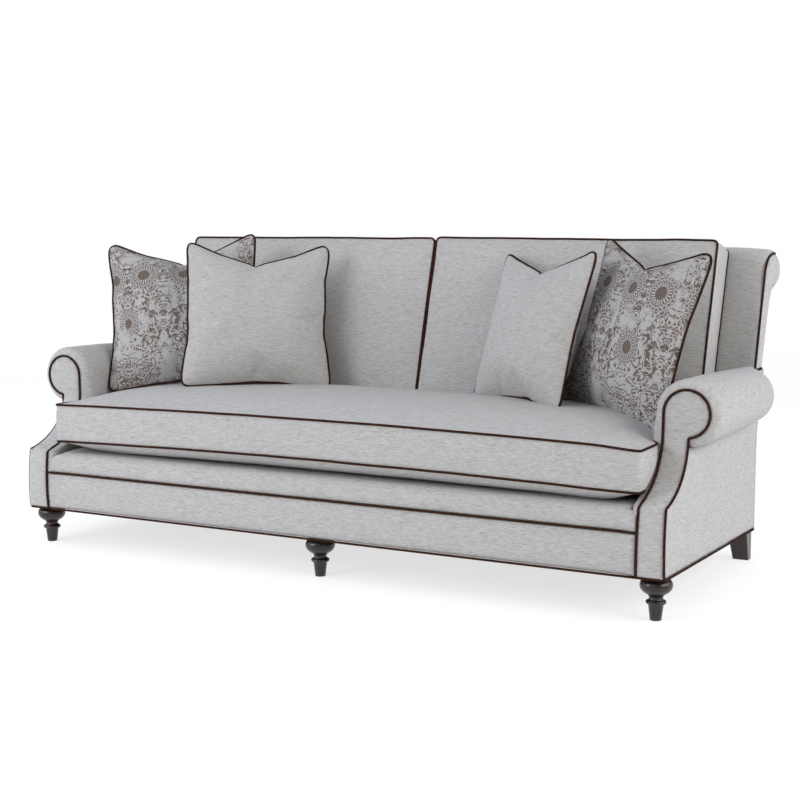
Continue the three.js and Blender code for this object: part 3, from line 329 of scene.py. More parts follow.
weft_slubs = streaks(tree, u, v, slub_length, times(tree, thread, 1.3), 2.0, 3.7)
warp_slubs = streaks(tree, u, v, times(tree, thread, 1.2), times(tree, slub_length, 0.3), 1.0, 9.1)
fleck_noise = streaks(tree, u, v, times(tree, slub_length, 0.8), times(tree, thread, 1.7), 2.0, 21.4)
weft = stripes(tree, calc(tree, "DIVIDE", times(tree, v, math.pi), thread))
warp = stripes(tree, calc(tree, "DIVIDE", times(tree, u, math.pi), thread))
threads = calc(tree, "MAXIMUM", weft, times(tree, warp, 0.85))
slubs = ramp(tree, weighted(tree, weft_slubs, 0.72, warp_slubs, 0.28), 0.38, 0.60)
tree.links.new(weighted(tree, threads, 0.45, slubs, 0.55), weave_out.inputs["Height"])
tree.links.new(slubs, weave_out.inputs["Slubs"])
tree.links.new(ramp(tree, fleck_noise, 0.56, 0.70), weave_out.inputs["Flecks"])
print("weave group nodes:", len(tree.nodes))

# %% Linen material
LINEN_LIGHT = (0.500, 0.499, 0.501)
LINEN_DARK = (0.394, 0.390, 0.384)
LINEN_FLECK = (0.282, 0.238, 0.172)
FLECK_SHARE = 0.64

linen, tree, shader = new_material("slubbed_linen")
weave_inputs = {"Cloth": cloth_place(tree), "Thread": 0.0014, "Slub length": 0.020}
weave = use_group(tree, weave_group, weave_inputs).outputs
ground = mix_colour(tree, weave["Slubs"], LINEN_DARK, LINEN_LIGHT)
flecked = mix_colour(tree, times(tree, weave["Flecks"], FLECK_SHARE), ground, LINEN_FLECK)
sheen = {"Sheen_Weight": 0.06, "Sheen_Roughness": 0.5, "Specular_IOR_Level": 0.12}
settle_shader(tree, shader, flecked, 0.9, weave["Height"], 0.0006, **sheen)
print("linen nodes:", len(tree.nodes))

# %% [markdown]
# ## Piping
# Every seam carries a cord covered in dark brown cloth. The cover is cut on the bias, so its
# threads run round the cord in a slow screw, which a slanted stripe over the cord's map gives.

# %% Piping material
# PIPING_DARK is painted shade in the grooves between the bias threads, PIPING_LIGHT a painted highlight on
# their ridges
PIPING_DARK = (0.014, 0.0052, 0.0028)
PIPING_LIGHT = (0.072, 0.029, 0.015)
PIPING_THREAD = 0.0013

piping, tree, shader = new_material("piping_cloth")
along = add_node(tree, "ShaderNodeSeparateXYZ", {0: cloth_place(tree)})
slants = [calc(tree, way, along.outputs[0], along.outputs[1]) for way in ("ADD", "SUBTRACT")]
ribs, ribs_back = [stripes(tree, times(tree, slant, math.pi / PIPING_THREAD)) for slant in slants]
bias = calc(tree, "MAXIMUM", ribs, times(tree, ribs_back, 0.8))
uneven = noise_value(tree, cloth_place(tree), 90.0, 3.0)
# painted shade and highlight: the tone follows the thread ridges that also give the bump, times a random
# unevenness of the cloth
tone = times(tree, bias, ramp(tree, uneven, 0.25, 0.75))
colour = mix_colour(tree, tone, PIPING_DARK, PIPING_LIGHT)
settle_shader(tree, shader, colour, 0.8, bias, 0.0004, Specular_IOR_Level=0.08)
print("piping nodes:", len(tree.nodes))

# %% [markdown]
# ## Worn medallion print
# Two pillows are printed in brown on pale linen with suns and lacy scrolls, rubbed away in patches.
# The cloth is folded in thought along upright lines, so that every motif has its mirror twin, as on
# a damask. Rings whose radius swings in and out make the suns, and level lines of a twisted noise
# make the scrolls between them.

# %% Lace ring group
ring_group, ring_in, ring_out = new_group(
    "Lace ring",
    {
        "Reach": ("NodeSocketFloat", None),
        "Angle": ("NodeSocketFloat", None),
        "Radius": ("NodeSocketFloat", 0.05),
        "Swing": ("NodeSocketFloat", 0.004),
        "Lobes": ("NodeSocketFloat", 12.0),
        "Width": ("NodeSocketFloat", 0.003),
    },
    {"Mask": "NodeSocketFloat"},
)
tree = ring_group
lobes = calc(tree, "COSINE", times(tree, ring_in.outputs["Angle"], ring_in.outputs["Lobes"]))
swung = times(tree, lobes, ring_in.outputs["Swing"])
edge = calc(tree, "ADD", ring_in.outputs["Radius"], swung)
away = calc(tree, "ABSOLUTE", calc(tree, "SUBTRACT", ring_in.outputs["Reach"], edge))
inside = calc(tree, "LESS_THAN", away, times(tree, ring_in.outputs["Width"], 0.5))
tree.links.new(inside, ring_out.inputs["Mask"])
print("ring group nodes:", len(tree.nodes))

# %% Print material
PRINT_GROUND = (0.455, 0.452, 0.450)
PRINT_BROWN = (0.094, 0.060, 0.044)
MIRROR = 0.25  # width of the cloth between two mirror lines
MIRROR_START = 0.045  # where the first of them lies
WOBBLE = 0.006  # how far the motifs' edges wander, in metres
SUNS = [  # centre on the folded cloth, and size
    ((0.066, 0.120), 0.92),
    ((0.125, -0.040), 0.80),
    ((0.125, 0.235), 0.70),
]
SUN_RINGS = [  # radius, swing, lobes, width in metres
    (0.000, 0.0026, 19, 0.046),
    (0.045, 0.0052, 22, 0.0050),
    (0.052, 0.0030, 44, 0.0032),
]
RAYS = (0.0260, 0.0405, 22)  # from, to, number
SUN_REACH = 0.056  # the ground kept free of scrolls round a sun of size 1
SCROLLS = [  # scale, lines across a swell of the noise, share of the swell's turn left bare
    (27.0, 27.0, -0.30),
    (56.0, 18.0, 0.62),
]


def distance_and_angle(tree, x, y, centre):
    across = calc(tree, "SUBTRACT", x, centre[0])
    up = calc(tree, "SUBTRACT", y, centre[1])
    square = calc(tree, "ADD", times(tree, across, across), times(tree, up, up))
    return calc(tree, "SQRT", square), calc(tree, "ARCTAN2", up, across)


def sun(tree, x, y, centre, size):
    """Rings and rays about a centre, and a mask of the ground that they take up."""
    reach, angle = distance_and_angle(tree, x, y, centre)
    masks = []
    for radius, swing, lobes, width in SUN_RINGS:
        inputs = {"Reach": reach, "Angle": angle, "Radius": radius * size}
        inputs.update({"Swing": swing * size, "Lobes": lobes, "Width": width * size})
        masks.append(use_group(tree, ring_group, inputs).outputs[0])
    start, stop, number = RAYS
    rays = calc(tree, "GREATER_THAN", calc(tree, "COSINE", times(tree, angle, number)), 0.0)
    rays = times(tree, rays, calc(tree, "GREATER_THAN", reach, start * size))
    rays = times(tree, rays, calc(tree, "LESS_THAN", reach, stop * size))
    return largest(tree, masks + [rays]), calc(tree, "LESS_THAN", reach, SUN_REACH * size)


def scrolls(tree, at, scale, lines, bare):
    """Level lines of a twisted noise, which curl like scrolls and leaves."""
    swell = noise_value(tree, at, scale, 0.0, Distortion=1.3)
    return calc(tree, "GREATER_THAN", calc(tree, "SINE", times(tree, swell, lines)), bare)


printed_linen, tree, shader = new_material("printed_linen")
flat = cloth_place(tree)
wobble = add_node(tree, "ShaderNodeTexNoise", {"Vector": flat, "Scale": 30.0, "Detail": 3.0}).outputs["Color"]
bend = vector_calc(tree, "SUBTRACT", {0: wobble, 1: (0.5, 0.5, 0.5)})
bend = vector_calc(tree, "SCALE", {0: bend, "Scale": WOBBLE})
at = add_node(tree, "ShaderNodeSeparateXYZ", {0: vector_calc(tree, "ADD", {0: flat, 1: bend})})
folded = calc(tree, "PINGPONG", calc(tree, "ADD", at.outputs[0], MIRROR_START), MIRROR / 2)
upward = at.outputs[1]
curl_at = add_node(tree, "ShaderNodeCombineXYZ", {0: folded, 1: upward}).outputs[0]
coarse, fine = [scrolls(tree, curl_at, *kind) for kind in SCROLLS]
field = times(tree, coarse, calc(tree, "SUBTRACT", 1.0, fine))
drawn_suns = [sun(tree, folded, upward, centre, size) for centre, size in SUNS]
suns = largest(tree, [mask for mask, _ in drawn_suns])
free = calc(tree, "SUBTRACT", 1.0, largest(tree, [taken for _, taken in drawn_suns]))
print("print nodes so far:", len(tree.nodes))

# %% [markdown]
# The print is worn: large patches have hardly any ink, its edges are eaten away, and small spots
# of ink stand alone in the bare patches.

# %% Wear of the print
FIELD_WORN = (0.430, 0.465)  # where the wear starts and ends on the scrolls
SUNS_WORN = (0.405, 0.445)
SPOT_INK = 0.7
FULL_INK = 0.92
THIN_INK = 0.82  # share of the ink where the cloth's nap has taken least

patches = noise_value(tree, flat, 7.0, 6.0, Roughness=0.64)
rubbed = noise_value(tree, flat, 330.0, 3.0, Roughness=0.6)
worn = weighted(tree, patches, 0.78, rubbed, 0.22)
weave = use_group(tree, weave_group, {"Cloth": flat, "Thread": 0.0012, "Slub length": 0.008}).outputs
field_ink = times(tree, times(tree, field, free), ramp(tree, worn, *FIELD_WORN))
sun_ink = times(tree, suns, ramp(tree, worn, *SUNS_WORN))
spots = times(tree, ramp(tree, rubbed, 0.57, 0.64), ramp(tree, patches, 0.36, 0.50))
ink = largest(tree, [field_ink, sun_ink, times(tree, spots, SPOT_INK)])
taken_up = calc(tree, "ADD", THIN_INK, times(tree, ramp(tree, rubbed, 0.35, 0.6), 1 - THIN_INK))
ink = times(tree, ink, taken_up)
ground = mix_colour(tree, weave["Slubs"], darker(PRINT_GROUND, 0.84), PRINT_GROUND)
printed = mix_colour(tree, times(tree, ink, FULL_INK), ground, PRINT_BROWN)
settle_shader(tree, shader, printed, 0.88, weave["Height"], 0.0005, Specular_IOR_Level=0.12)
print("print nodes:", len(tree.nodes))

# %% [markdown]
# ## Wood and metal
# The legs are lacquered almost black over a brown grain, which glows where the lacquer is thin.
# The frame is bare hardwood, only seen from inside. One grain group serves both: rings of growth
# stretched along one axis, with fine pores. Steel and the black dust cover need little.

# %% Grain group
grain_group, grain_in, grain_out = new_group(
    "Wood grain",
    {
        "Place": ("NodeSocketVector", None),
        "Ring size": ("NodeSocketFloat", 0.008),
        "Stretch": ("NodeSocketVector", (1.0, 1.0, 0.08)),
    },
    {"Rings": "NodeSocketFloat", "Pores": "NodeSocketFloat"},
)
tree = grain_group
stretched = {0: grain_in.outputs["Place"], 1: grain_in.outputs["Stretch"]}
drawn_out = vector_calc(tree, "MULTIPLY", stretched)
per_metre = calc(tree, "DIVIDE", 1.0, grain_in.outputs["Ring size"])
sized = vector_calc(tree, "SCALE", {0: drawn_out, "Scale": per_metre})
ring_noise = noise_value(tree, sized, 1.0, 3.0, Distortion=1.2)
pore_noise = noise_value(tree, sized, 9.0, 2.0)
tree.links.new(ramp(tree, ring_noise, 0.35, 0.65), grain_out.inputs["Rings"])
tree.links.new(ramp(tree, pore_noise, 0.42, 0.6), grain_out.inputs["Pores"])
print("grain group nodes:", len(tree.nodes))


# %% Wood, steel and cambric materials
def wood(name, dark, light, roughness, stretch, ring_size, **plain):
    material, tree, shader = new_material(name)
    inputs = {"Place": object_place(tree), "Ring size": ring_size, "Stretch": stretch}
    grain = use_group(tree, grain_group, inputs).outputs
    tone = times(tree, grain["Rings"], grain["Pores"])
    colour = mix_colour(tree, tone, dark, light)
    gloss = calc(tree, "ADD", times(tree, grain["Pores"], -0.08), roughness)
    settle_shader(tree, shader, colour, gloss, grain["Pores"], 0.00025, 0.5, **plain)
    return material


def steel(name, tint, roughness):
    material, tree, shader = new_material(name)
    spots = noise_value(tree, object_place(tree), 140.0, 3.0)
    colour = mix_colour(tree, ramp(tree, spots, 0.3, 0.7), darker(tint, 0.75), tint)
    gloss = calc(tree, "ADD", times(tree, spots, 0.2), roughness)
    settle_shader(tree, shader, colour, gloss, spots, 0.0002, 0.4, Metallic=1.0)
    return material


LACQUER = {"Specular_IOR_Level": 0.35, "Coat_Weight": 0.35, "Coat_Roughness": 0.10}
ESPRESSO = ((0.005, 0.0030, 0.0020), (0.042, 0.020, 0.010))
BARE_WOOD = ((0.32, 0.2, 0.11), (0.52, 0.36, 0.21))
CAMBRIC = ((0.012, 0.012, 0.013), (0.05, 0.05, 0.053))

espresso = wood("espresso_lacquer", *ESPRESSO, 0.30, (1.0, 1.0, 0.1), 0.007, **LACQUER)
hardwood = wood("bare_hardwood", *BARE_WOOD, 0.66, (0.05, 1.0, 1.0), 0.012)
bolt_steel = steel("zinc_steel", (0.55, 0.56, 0.58), 0.28)
spring_steel = steel("spring_wire", (0.24, 0.24, 0.26), 0.34)

cambric, tree, shader = new_material("black_cambric")
fibres = noise_value(tree, object_place(tree), 700.0, 4.0)
settle_shader(tree, shader, mix_colour(tree, fibres, *CAMBRIC), 0.92, fibres, 0.0003)
print("wood, steel and cambric ready")

# %% [markdown]
# ## From points to pieces
# Each cover is drawn as a grid of points, row by row, in the sofa's frame. The grid keeps the
# edges of the cloth where the seams are, and it gives the cloth a map in true lengths, which the
# weave needs. A thin cover gets its thickness from a Solidify modifier.

# %% Mesh helpers
COVER_THICKNESS = 5  # mm, cloth and its lining
SIDES = (("right", 1), ("left", -1))


def new_piece(name, points, faces, material, maps=None, world=False):
    """A smooth-shaded object. Points are in mm in the sofa's frame, or in metres in the world.
    Maps holds, for each face, its corners' places along the cloth in mm."""
    mesh = bpy.data.meshes.new(name)
    mesh.from_pydata((points if world else to_world(points)).tolist(), [], faces)
    if maps is not None:
        layer = mesh.uv_layers.new(name="cloth")
        flat = np.concatenate([np.asarray(m, float) for m in maps]) * MM
        layer.data.foreach_set("uv", flat.astype(np.float32).ravel())
    mesh.materials.append(material)
    mesh.shade_smooth()
    piece = bpy.data.objects.new(name, mesh)
    bpy.context.scene.collection.objects.link(piece)
    return piece


def lengths_along(grid, axis):
    """How far each point of a grid is along one of its ways, in mm."""
    steps = np.linalg.norm(np.diff(grid, axis=axis), axis=2)
    start = np.zeros_like(steps.take([0], axis=axis))
    return np.concatenate([start, np.cumsum(steps, axis=axis)], axis=axis)


def grid_faces(rows, columns, flip=False):
    """Four-cornered faces between the points of a grid, as lists of corners."""
    starts = [i * columns + j for i in range(rows - 1) for j in range(columns - 1)]
    faces = [[k, k + columns, k + columns + 1, k + 1] for k in starts]
    return [face[::-1] for face in faces] if flip else faces


def tube_faces(rings, sides, closed=False):
    """Four-cornered faces between the rings of points round a tube."""
    faces = []
    for i in range(rings if closed else rings - 1):
        here, there = i * sides, (i + 1) % rings * sides
        for k in range(sides):
            n = (k + 1) % sides
            faces.append([here + k, here + n, there + n, there + k])
    return faces


def ring_cells(columns, rows):
    """The outer places of a grid, in order round it."""
    near = [(i, 0) for i in range(columns - 1)] + [(columns - 1, j) for j in range(rows - 1)]
    return near + [(columns - 1 - i, rows - 1 - j) for i, j in near]


def sheet_piece(name, grids, material, flip=False):
    """One object from several grids of points. The cloth's width runs along each grid's columns."""
    points, faces, maps = [], [], []
    for grid in grids:
        grid = np.asarray(grid, float)
        rows, columns = grid.shape[:2]
        across = lengths_along(grid, 1)
        across -= across[:, columns // 2, None]
        up = lengths_along(grid, 0)
        up = np.repeat(up[:, columns // 2, None], columns, axis=1)
        plan = np.stack([across, up], 2).reshape(-1, 2)
        for face in grid_faces(rows, columns, flip):
            faces.append([corner + len(points) for corner in face])
            maps.append(plan[face])
        points += grid.reshape(-1, 3).tolist()
    return new_piece(name, np.array(points), faces, material, maps)


def finish_piece(piece, body, slot, *nodes, fill=None):
    """Says what a piece rides on and hides the frame's solids that it stands for."""
    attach(piece, body)
    if nodes:
        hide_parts(*nodes)
    return piece


def frame_cover(piece, node, fill=None):
    """A linen cover on the sofa's frame, thickened inwards from the surface drawn."""
    solidify = piece.modifiers.new("thickness", "SOLIDIFY")
    solidify.thickness = COVER_THICKNESS * MM
    solidify.offset = -1
    return finish_piece(piece, "sofa_frame", "linen", node, fill=fill)


print("mesh helpers ready")

# %% [markdown]
# ## Cords
# A cord is a round tube swept along its seam. The seam is first resampled to even steps on a
# smooth curve, because even steps keep the tube's rings square to it.

# %% Cord helper
CORD_RADIUS = 3.4
CORD_SIDES = 10
CORD_STEP = 5.0
NOT_ALONG_ANY_SEAM = (0.31, 0.17, 0.93)


def smooth_line(points, step, closed):
    """A Catmull-Rom curve through the points, cut into even steps."""
    points = np.asarray(points, float)
    before, after = points[-1:], points[:2]
    if not closed:
        before = 2 * points[:1] - points[1:2]
        after = 2 * points[-1:] - points[-2:-1]
    around = np.concatenate([before, points, after])
    t = np.linspace(0, 1, 12, endpoint=False)[:, None]
    fine = []
    for i in range(len(points) if closed else len(points) - 1):
        a, b, c, d = around[i : i + 4]
        bend = (2 * a - 5 * b + 4 * c - d) * t**2 + (3 * b - a - 3 * c + d) * t**3
        fine.append(0.5 * (2 * b + (c - a) * t + bend))
    fine = np.concatenate(fine + [points[:1] if closed else points[-1:]])
    far = np.concatenate([[0], np.cumsum(np.linalg.norm(np.diff(fine, axis=0), axis=1))])
    steps = max(4, round(far[-1] / step))
    even = np.linspace(0, far[-1], steps + 1)
    line = np.stack([np.interp(even, far, fine[:, k]) for k in range(3)], 1)
    return (line[:-1] if closed else line), far[-1]


def cord_frames(line, closed):
    """Two directions square to a line at each of its points, which turn as little as they can."""
    ahead = np.roll(line, -1, 0) - np.roll(line, 1, 0)
    if not closed:
        ahead[0], ahead[-1] = line[1] - line[0], line[-1] - line[-2]
    ahead /= np.linalg.norm(ahead, axis=1)[:, None]
    normal = np.cross(ahead[0], NOT_ALONG_ANY_SEAM)
    normals = []
    for direction in ahead:
        normal = normal - direction * normal.dot(direction)
        normal /= np.linalg.norm(normal)
        normals.append(normal)
    normals = np.array(normals)
    if closed:
        last = np.cross(ahead[0], normals[0])
        twist = math.atan2(normals[-1].dot(last), normals[-1].dot(normals[0]))
        share = -twist * np.arange(len(line)) / len(line)
        side = np.cross(ahead, normals)
        normals = normals * np.cos(share)[:, None] + side * np.sin(share)[:, None]
    return normals, np.cross(ahead, normals)


def cord_piece(name, lines, closed=True, world=False):
    """Round cords along one or more seams, as one object."""
    unit = 1000 if world else 1
    turn = np.arange(CORD_SIDES) * 2 * math.pi / CORD_SIDES
    facet = 2 * math.pi * CORD_RADIUS / CORD_SIDES
    points, faces, maps = [], [], []
    for seam in lines:
        line, length = smooth_line(np.asarray(seam) * unit, CORD_STEP, closed)
        normals, side = cord_frames(line, closed)
        ring = normals[:, None] * np.cos(turn)[None, :, None] + side[:, None] * np.sin(turn)[None, :, None]
        first, count = len(points), len(line)
        points += (line[:, None] + ring * CORD_RADIUS).reshape(-1, 3).tolist()
        faces += [[first + k for k in face] for face in tube_faces(count, CORD_SIDES, closed)]
        spans = count if closed else count - 1
        stride = length / spans
        for i in range(spans):
            near, far = i * stride, (i + 1) * stride
            for k in range(CORD_SIDES):
                low, high = k * facet, (k + 1) * facet
                maps.append([(near, low), (near, high), (far, high), (far, low)])
        if closed:
            continue
        last_ring = first + (count - 1) * CORD_SIDES
        for start, order in ((first, range(CORD_SIDES - 1, -1, -1)), (last_ring, range(CORD_SIDES))):
            faces.append([start + k for k in order])
            maps.append([(math.cos(turn[k]) * CORD_RADIUS, math.sin(turn[k]) * CORD_RADIUS) for k in order])
    points = np.array(points)
    if world:
        points = points * MM
    piece = new_piece(name, points, faces, piping, maps, world)
    print(name, "points:", len(points))
    return piece


# %% [markdown]
# ## Panels with a pinned edge
# Facings, the border, end panels and outside covers are cloth drawn over a thin pad and held along
# their outline. They stand a few millimetres proud in the middle and dive at the edge. The outline
# is filled with an even mesh, and each point is lifted by its distance from the edge.

# %% Puffed panel helper
ROW_SHARE = 0.866  # rows of even triangles, over their side
RIM_CLEARANCE = 0.45  # least distance of an inner point from the rim, in steps
SOFA_MIDDLE = (0, 400, 420)


def edge_distance(points, outline):
    """Distance of each 2D point from a closed outline."""
    start, end = outline, np.roll(outline, -1, 0)
    run = end - start
    share = np.clip(((points[:, None] - start) * run).sum(2) / np.maximum((run**2).sum(1), 1e-9), 0, 1)
    return np.linalg.norm(points[:, None] - (start + share[:, :, None] * run), axis=2).min(1)


def resample(outline, step):
    """An outline with its corners kept and its long runs cut into steps."""
    made = []
    for a, b in zip(outline, np.roll(outline, -1, 0)):
        parts = max(1, round(float(np.linalg.norm(b - a)) / step))
        made += [a + (b - a) * k / parts for k in range(parts)]
    return np.array(made)


def puffed_panel(name, node, outline, side, place, puff, soft_edge, step):
    """A linen panel filled from a 2D outline. Place takes a point, its height and its side to 3D."""
    rim = resample(np.asarray(outline, float), step)
    low, high = rim.min(0), rim.max(0)
    xs = np.arange(low[0] + step / 2, high[0], step)
    ys = np.arange(low[1] + step / 2, high[1], step * ROW_SHARE)
    inner = np.array([(x + (step / 2 if row % 2 else 0), y) for row, y in enumerate(ys) for x in xs])
    inner = inner[edge_distance(inner, rim) > step * RIM_CLEARANCE]
    loose = [Vector(p) for p in rim] + [Vector(p) for p in inner]
    loop = [list(range(len(rim)))]
    found, _, triangles, *_ = geometry.delaunay_2d_cdt(loose, [], loop, 1, 1e-4)
    flat = np.array(found)
    lift = puff * (1 - np.exp(-edge_distance(flat, rim) / soft_edge))
    placed = [place(p[0], p[1], height, side) for p, height in zip(flat, lift)]
    faces = [list(triangle) for triangle in triangles]
    piece = new_piece(name, np.array(placed), faces, linen, [flat[face] for face in faces])
    face_out(piece)
    print(name, "faces:", len(faces))
    return frame_cover(piece, node)


def face_out(piece):
    """Turns the faces of each part of a mesh to the side away from the sofa's middle."""
    builder = bmesh.new()
    builder.from_mesh(piece.data)
    middle = Vector(to_world(SOFA_MIDDLE))
    seen = set()
    for face in builder.faces:
        if face.index in seen:
            continue
        island, edge = [], [face]
        seen.add(face.index)
        while edge:
            here = edge.pop()
            island.append(here)
            for side in here.edges:
                for other in side.link_faces:
                    if other.index not in seen:
                        seen.add(other.index)
                        edge.append(other)
        if sum((f.calc_center_median() - middle).dot(f.normal) * f.calc_area() for f in island) < 0:
            bmesh.ops.reverse_faces(builder, faces=island)
    builder.to_mesh(piece.data)
    builder.free()


print("panel helper ready")

# %% [markdown]
# ## Sizes of the arms and the back
# These repeat the frame's own sizes, because the covers are drawn as smooth sheets over the same
# shape and the seams have to run where the frame has them.

# %% Sizes
HALF_BASE = 1052
BASE_DEPTH = 764
BASE_BOTTOM = 118.5
RAIL_TOP = 230
DECK_TOP = 295
ROLL_X, ROLL_Z, ROLL_RADIUS = 1045, 519, 89
FACE_RADIUS = 62.5  # of the facing's round head
ROLL_REAR, REAR_ROUNDING = 735, 72
ARM_INNER = ROLL_X - ROLL_RADIUS
FACING_Y = 160  # y of the facing's head
SWEEP_TOP, TOE_TOP = 460, 298  # heights where the swept front ends and begins
TOE_BULGE = 9
INNER_FOOT = HALF_BASE - 76  # x of the facing's inner foot
LIP = ROLL_RADIUS - FACE_RADIUS  # from the facing's seam to the roll's surface
RAKE = math.tan(math.radians(15))
OUTSIDE_RAKE = math.tan(math.radians(17.5))
SCROLL_Y, SCROLL_Z, SCROLL_RADIUS, SCROLL_SEAM = 917, 868, 66, 50
INSIDE_Y = 840  # y of the inside back at the scroll's height
RAKE_FROM = 400  # height where the outside back starts to lean
DISH = 12  # how far the back's ends stand before its middle
HEEL_TOP = 580  # where the end panel of the back starts, behind the arm's roll


def inside_back(z):
    return INSIDE_Y - (SCROLL_Z - z) * RAKE


def outside_back(z):
    return BASE_DEPTH + max(0, z - RAKE_FROM) * OUTSIDE_RAKE


def bezier(points, steps):
    """Points on a Bezier curve of any degree."""
    points = np.asarray(points, float)
    degree = len(points) - 1
    t = np.linspace(0, 1, steps + 1)[:, None]
    pulls = [math.comb(degree, k) * t**k * (1 - t) ** (degree - k) for k in range(degree + 1)]
    return sum(pull * point for pull, point in zip(pulls, points))


def arc(centre, radius, start, stop, steps):
    """Points on a circle in a plane, as a list."""
    angles = np.linspace(start, stop, steps)
    return [(centre[0] + radius * math.cos(a), centre[1] + radius * math.sin(a)) for a in angles]


def arm_profile():
    """The arm's front in (y, z), from the foot up to the roll's face."""
    middle = (BASE_BOTTOM + TOE_TOP) / 2
    toe = bezier([(-TOE_BULGE * 0.6, BASE_BOTTOM), (-TOE_BULGE * 1.6, middle), (0, TOE_TOP)], 12)
    rise = SWEEP_TOP - TOE_TOP
    low_pull, high_pull = (FACING_Y * 0.38, TOE_TOP + rise * 0.08), (FACING_Y * 0.97, TOE_TOP + rise * 0.36)
    sweep = bezier([(0, TOE_TOP), low_pull, high_pull, (FACING_Y, SWEEP_TOP)], 30)
    return np.concatenate([toe, sweep[1:]])


PROFILE = arm_profile()


def front_at(z):
    """y of the arm's front at a height."""
    return float(np.interp(z, PROFILE[:, 1], PROFILE[:, 0]))


def inner_seam_at(z):
    """x of the seam at the facing's inner side."""
    share = (z - BASE_BOTTOM) / (ROLL_Z - BASE_BOTTOM)
    return INNER_FOOT + (ROLL_X - FACE_RADIUS - INNER_FOOT) * min(1, share)


NOTCH = math.asin((HALF_BASE - ROLL_X) / FACE_RADIUS)  # where the head meets the outer side
print("arm's front runs from z", PROFILE[0, 1], "to", PROFILE[-1, 1])

# %% [markdown]
# ## Arms
# The inside of the arm and its roll are one piece of linen: it comes up from the deck, goes over
# the roll and ends under it. In front it turns through a small round to the facing's seam, and
# behind it is gathered over the roll's end. So it is drawn as one sheet: each row is a place on the
# way up and round, and each column a place from front to rear.

# %% Arm sheet
ROLL_UNDER = -math.acos((HALF_BASE - ROLL_X) / ROLL_RADIUS)


def arm_rows():
    """Outer place, inward direction and seam inset for each row: x, z, way x, way z, inset."""
    rows = []
    for z in np.linspace(RAIL_TOP + 4, ROLL_Z, 33)[:-1]:
        rows.append((ARM_INNER, z, 1, 0, inner_seam_at(z) - ARM_INNER))
    for angle in np.linspace(math.pi, ROLL_UNDER, 52):
        c, s = math.cos(angle), math.sin(angle)
        rows.append((ROLL_X + ROLL_RADIUS * c, ROLL_Z + ROLL_RADIUS * s, -c, -s, LIP))
    return rows


ROLL_TAPER = 9  # how much thinner the roll is at its rear
TAPER_FROM = 300
END_GATHER = REAR_ROUNDING * 1.12  # how far the roll's end is gathered in
RUN_ON = 32  # how far the roll's inner half runs on into the back
RUN_ON_FLATNESS = 0.82  # share of the gathering that it is spared
RUN_ON_EDGE, RUN_ON_FADE = HALF_BASE + 23, 40  # x where it has died out, and over what width
LIP_SWELL = 9  # how far the arm's inside swells towards the seat behind its front edge
SWELL_LENGTH = 90
SWELL_FROM, SWELL_RISE, SWELL_FALL = 330, 60, 45  # lowest height, and how it comes and goes


def ease(share):
    """From 0 to 1, slow at both ends."""
    share = min(1, max(0, share))
    return share * share * (3 - 2 * share)


def lip_swell(z, behind):
    """The swelling at a height and a distance behind the arm's front."""
    level = ease((z - SWELL_FROM) / SWELL_RISE) * ease((ROLL_Z - z) / SWELL_FALL)
    return -LIP_SWELL * level * ease(behind / LIP) * ease(1 - (behind - LIP) / SWELL_LENGTH)


def arm_row(x, z, way_x, inset):
    """One row of the arm's sheet from front to rear: how far each point lies inwards, and its y."""
    front = FACING_Y if way_x != 1 else front_at(z)
    tail = ROLL_REAR - REAR_ROUNDING
    on_roll = way_x != 1
    inner = on_roll * ease((RUN_ON_EDGE - x) / RUN_ON_FADE)
    row = []
    for turn in np.linspace(0, math.pi / 2, 7):
        behind = LIP * (1 - math.cos(turn))
        row.append((inset * (1 - math.sin(turn)) + (way_x == 1) * lip_swell(z, behind), front + behind))
    for y in np.linspace(front + LIP, tail, 34)[1:]:
        thinner = on_roll * ROLL_TAPER * max(0, (y - TAPER_FROM) / (tail - TAPER_FROM)) ** 1.5
        row.append((thinner + (not on_roll) * lip_swell(z, y - front), y))
    for turn in np.linspace(0, math.pi / 2, 12)[1:]:
        rounding = (1 - RUN_ON_FLATNESS * inner) * (END_GATHER - ROLL_TAPER) * (1 - math.cos(turn))
        y = tail + (REAR_ROUNDING + RUN_ON * inner) * math.sin(turn)
        row.append((on_roll * (ROLL_TAPER + rounding), y))
    return row


def arm_sheet(side):
    grid = []
    for x, z, way_x, way_z, inset in arm_rows():
        row = arm_row(x, z, way_x, inset)
        grid.append([(side * (x + way_x * d), y, z + way_z * d) for d, y in row])
    return np.array(grid)


# %% [markdown]
# A tight cover still shows that hands made it: it is a millimetre or two uneven, and slack gathers
# near the seams. Smooth noise pushes the points in and out along their normals to give that.

# %% Hand of the maker


def soften(piece, depth, size, seed):
    """Pushes a mesh's points along their normals by smooth noise. Depth and size are in mm."""
    mesh = piece.data
    offset = Vector((seed * 7.31, seed * 3.17, seed * 5.71))
    for vertex, normal in zip(mesh.vertices, [n.vector.copy() for n in mesh.vertex_normals]):
        at = vertex.co / (size * MM) + offset
        push = noise.noise(at) + 0.5 * noise.noise(at * 2.3)
        vertex.co += normal * push * depth * MM
    mesh.update()


# %% Arm covers
for name, side in SIDES:
    cover = sheet_piece(f"arm_cover_{name}", [arm_sheet(side)], linen, flip=side < 0)
    soften(cover, 1.1, 130, 3 + side)
    frame_cover(cover, f"arm_pad_{name}", fill=0.95)
    low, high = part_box(f"arm_pad_{name}")
    print(cover.name, "points:", len(cover.data.vertices), "CAD height:", round(high.z - low.z, 3))

# %% [markdown]
# ## Facings
# The facing is the keyhole-shaped front of the arm. Its outline is the seam itself: up the outer
# side, round the roll and down the inner side. It follows the arm's swept front, a little puffed.

# %% Facings


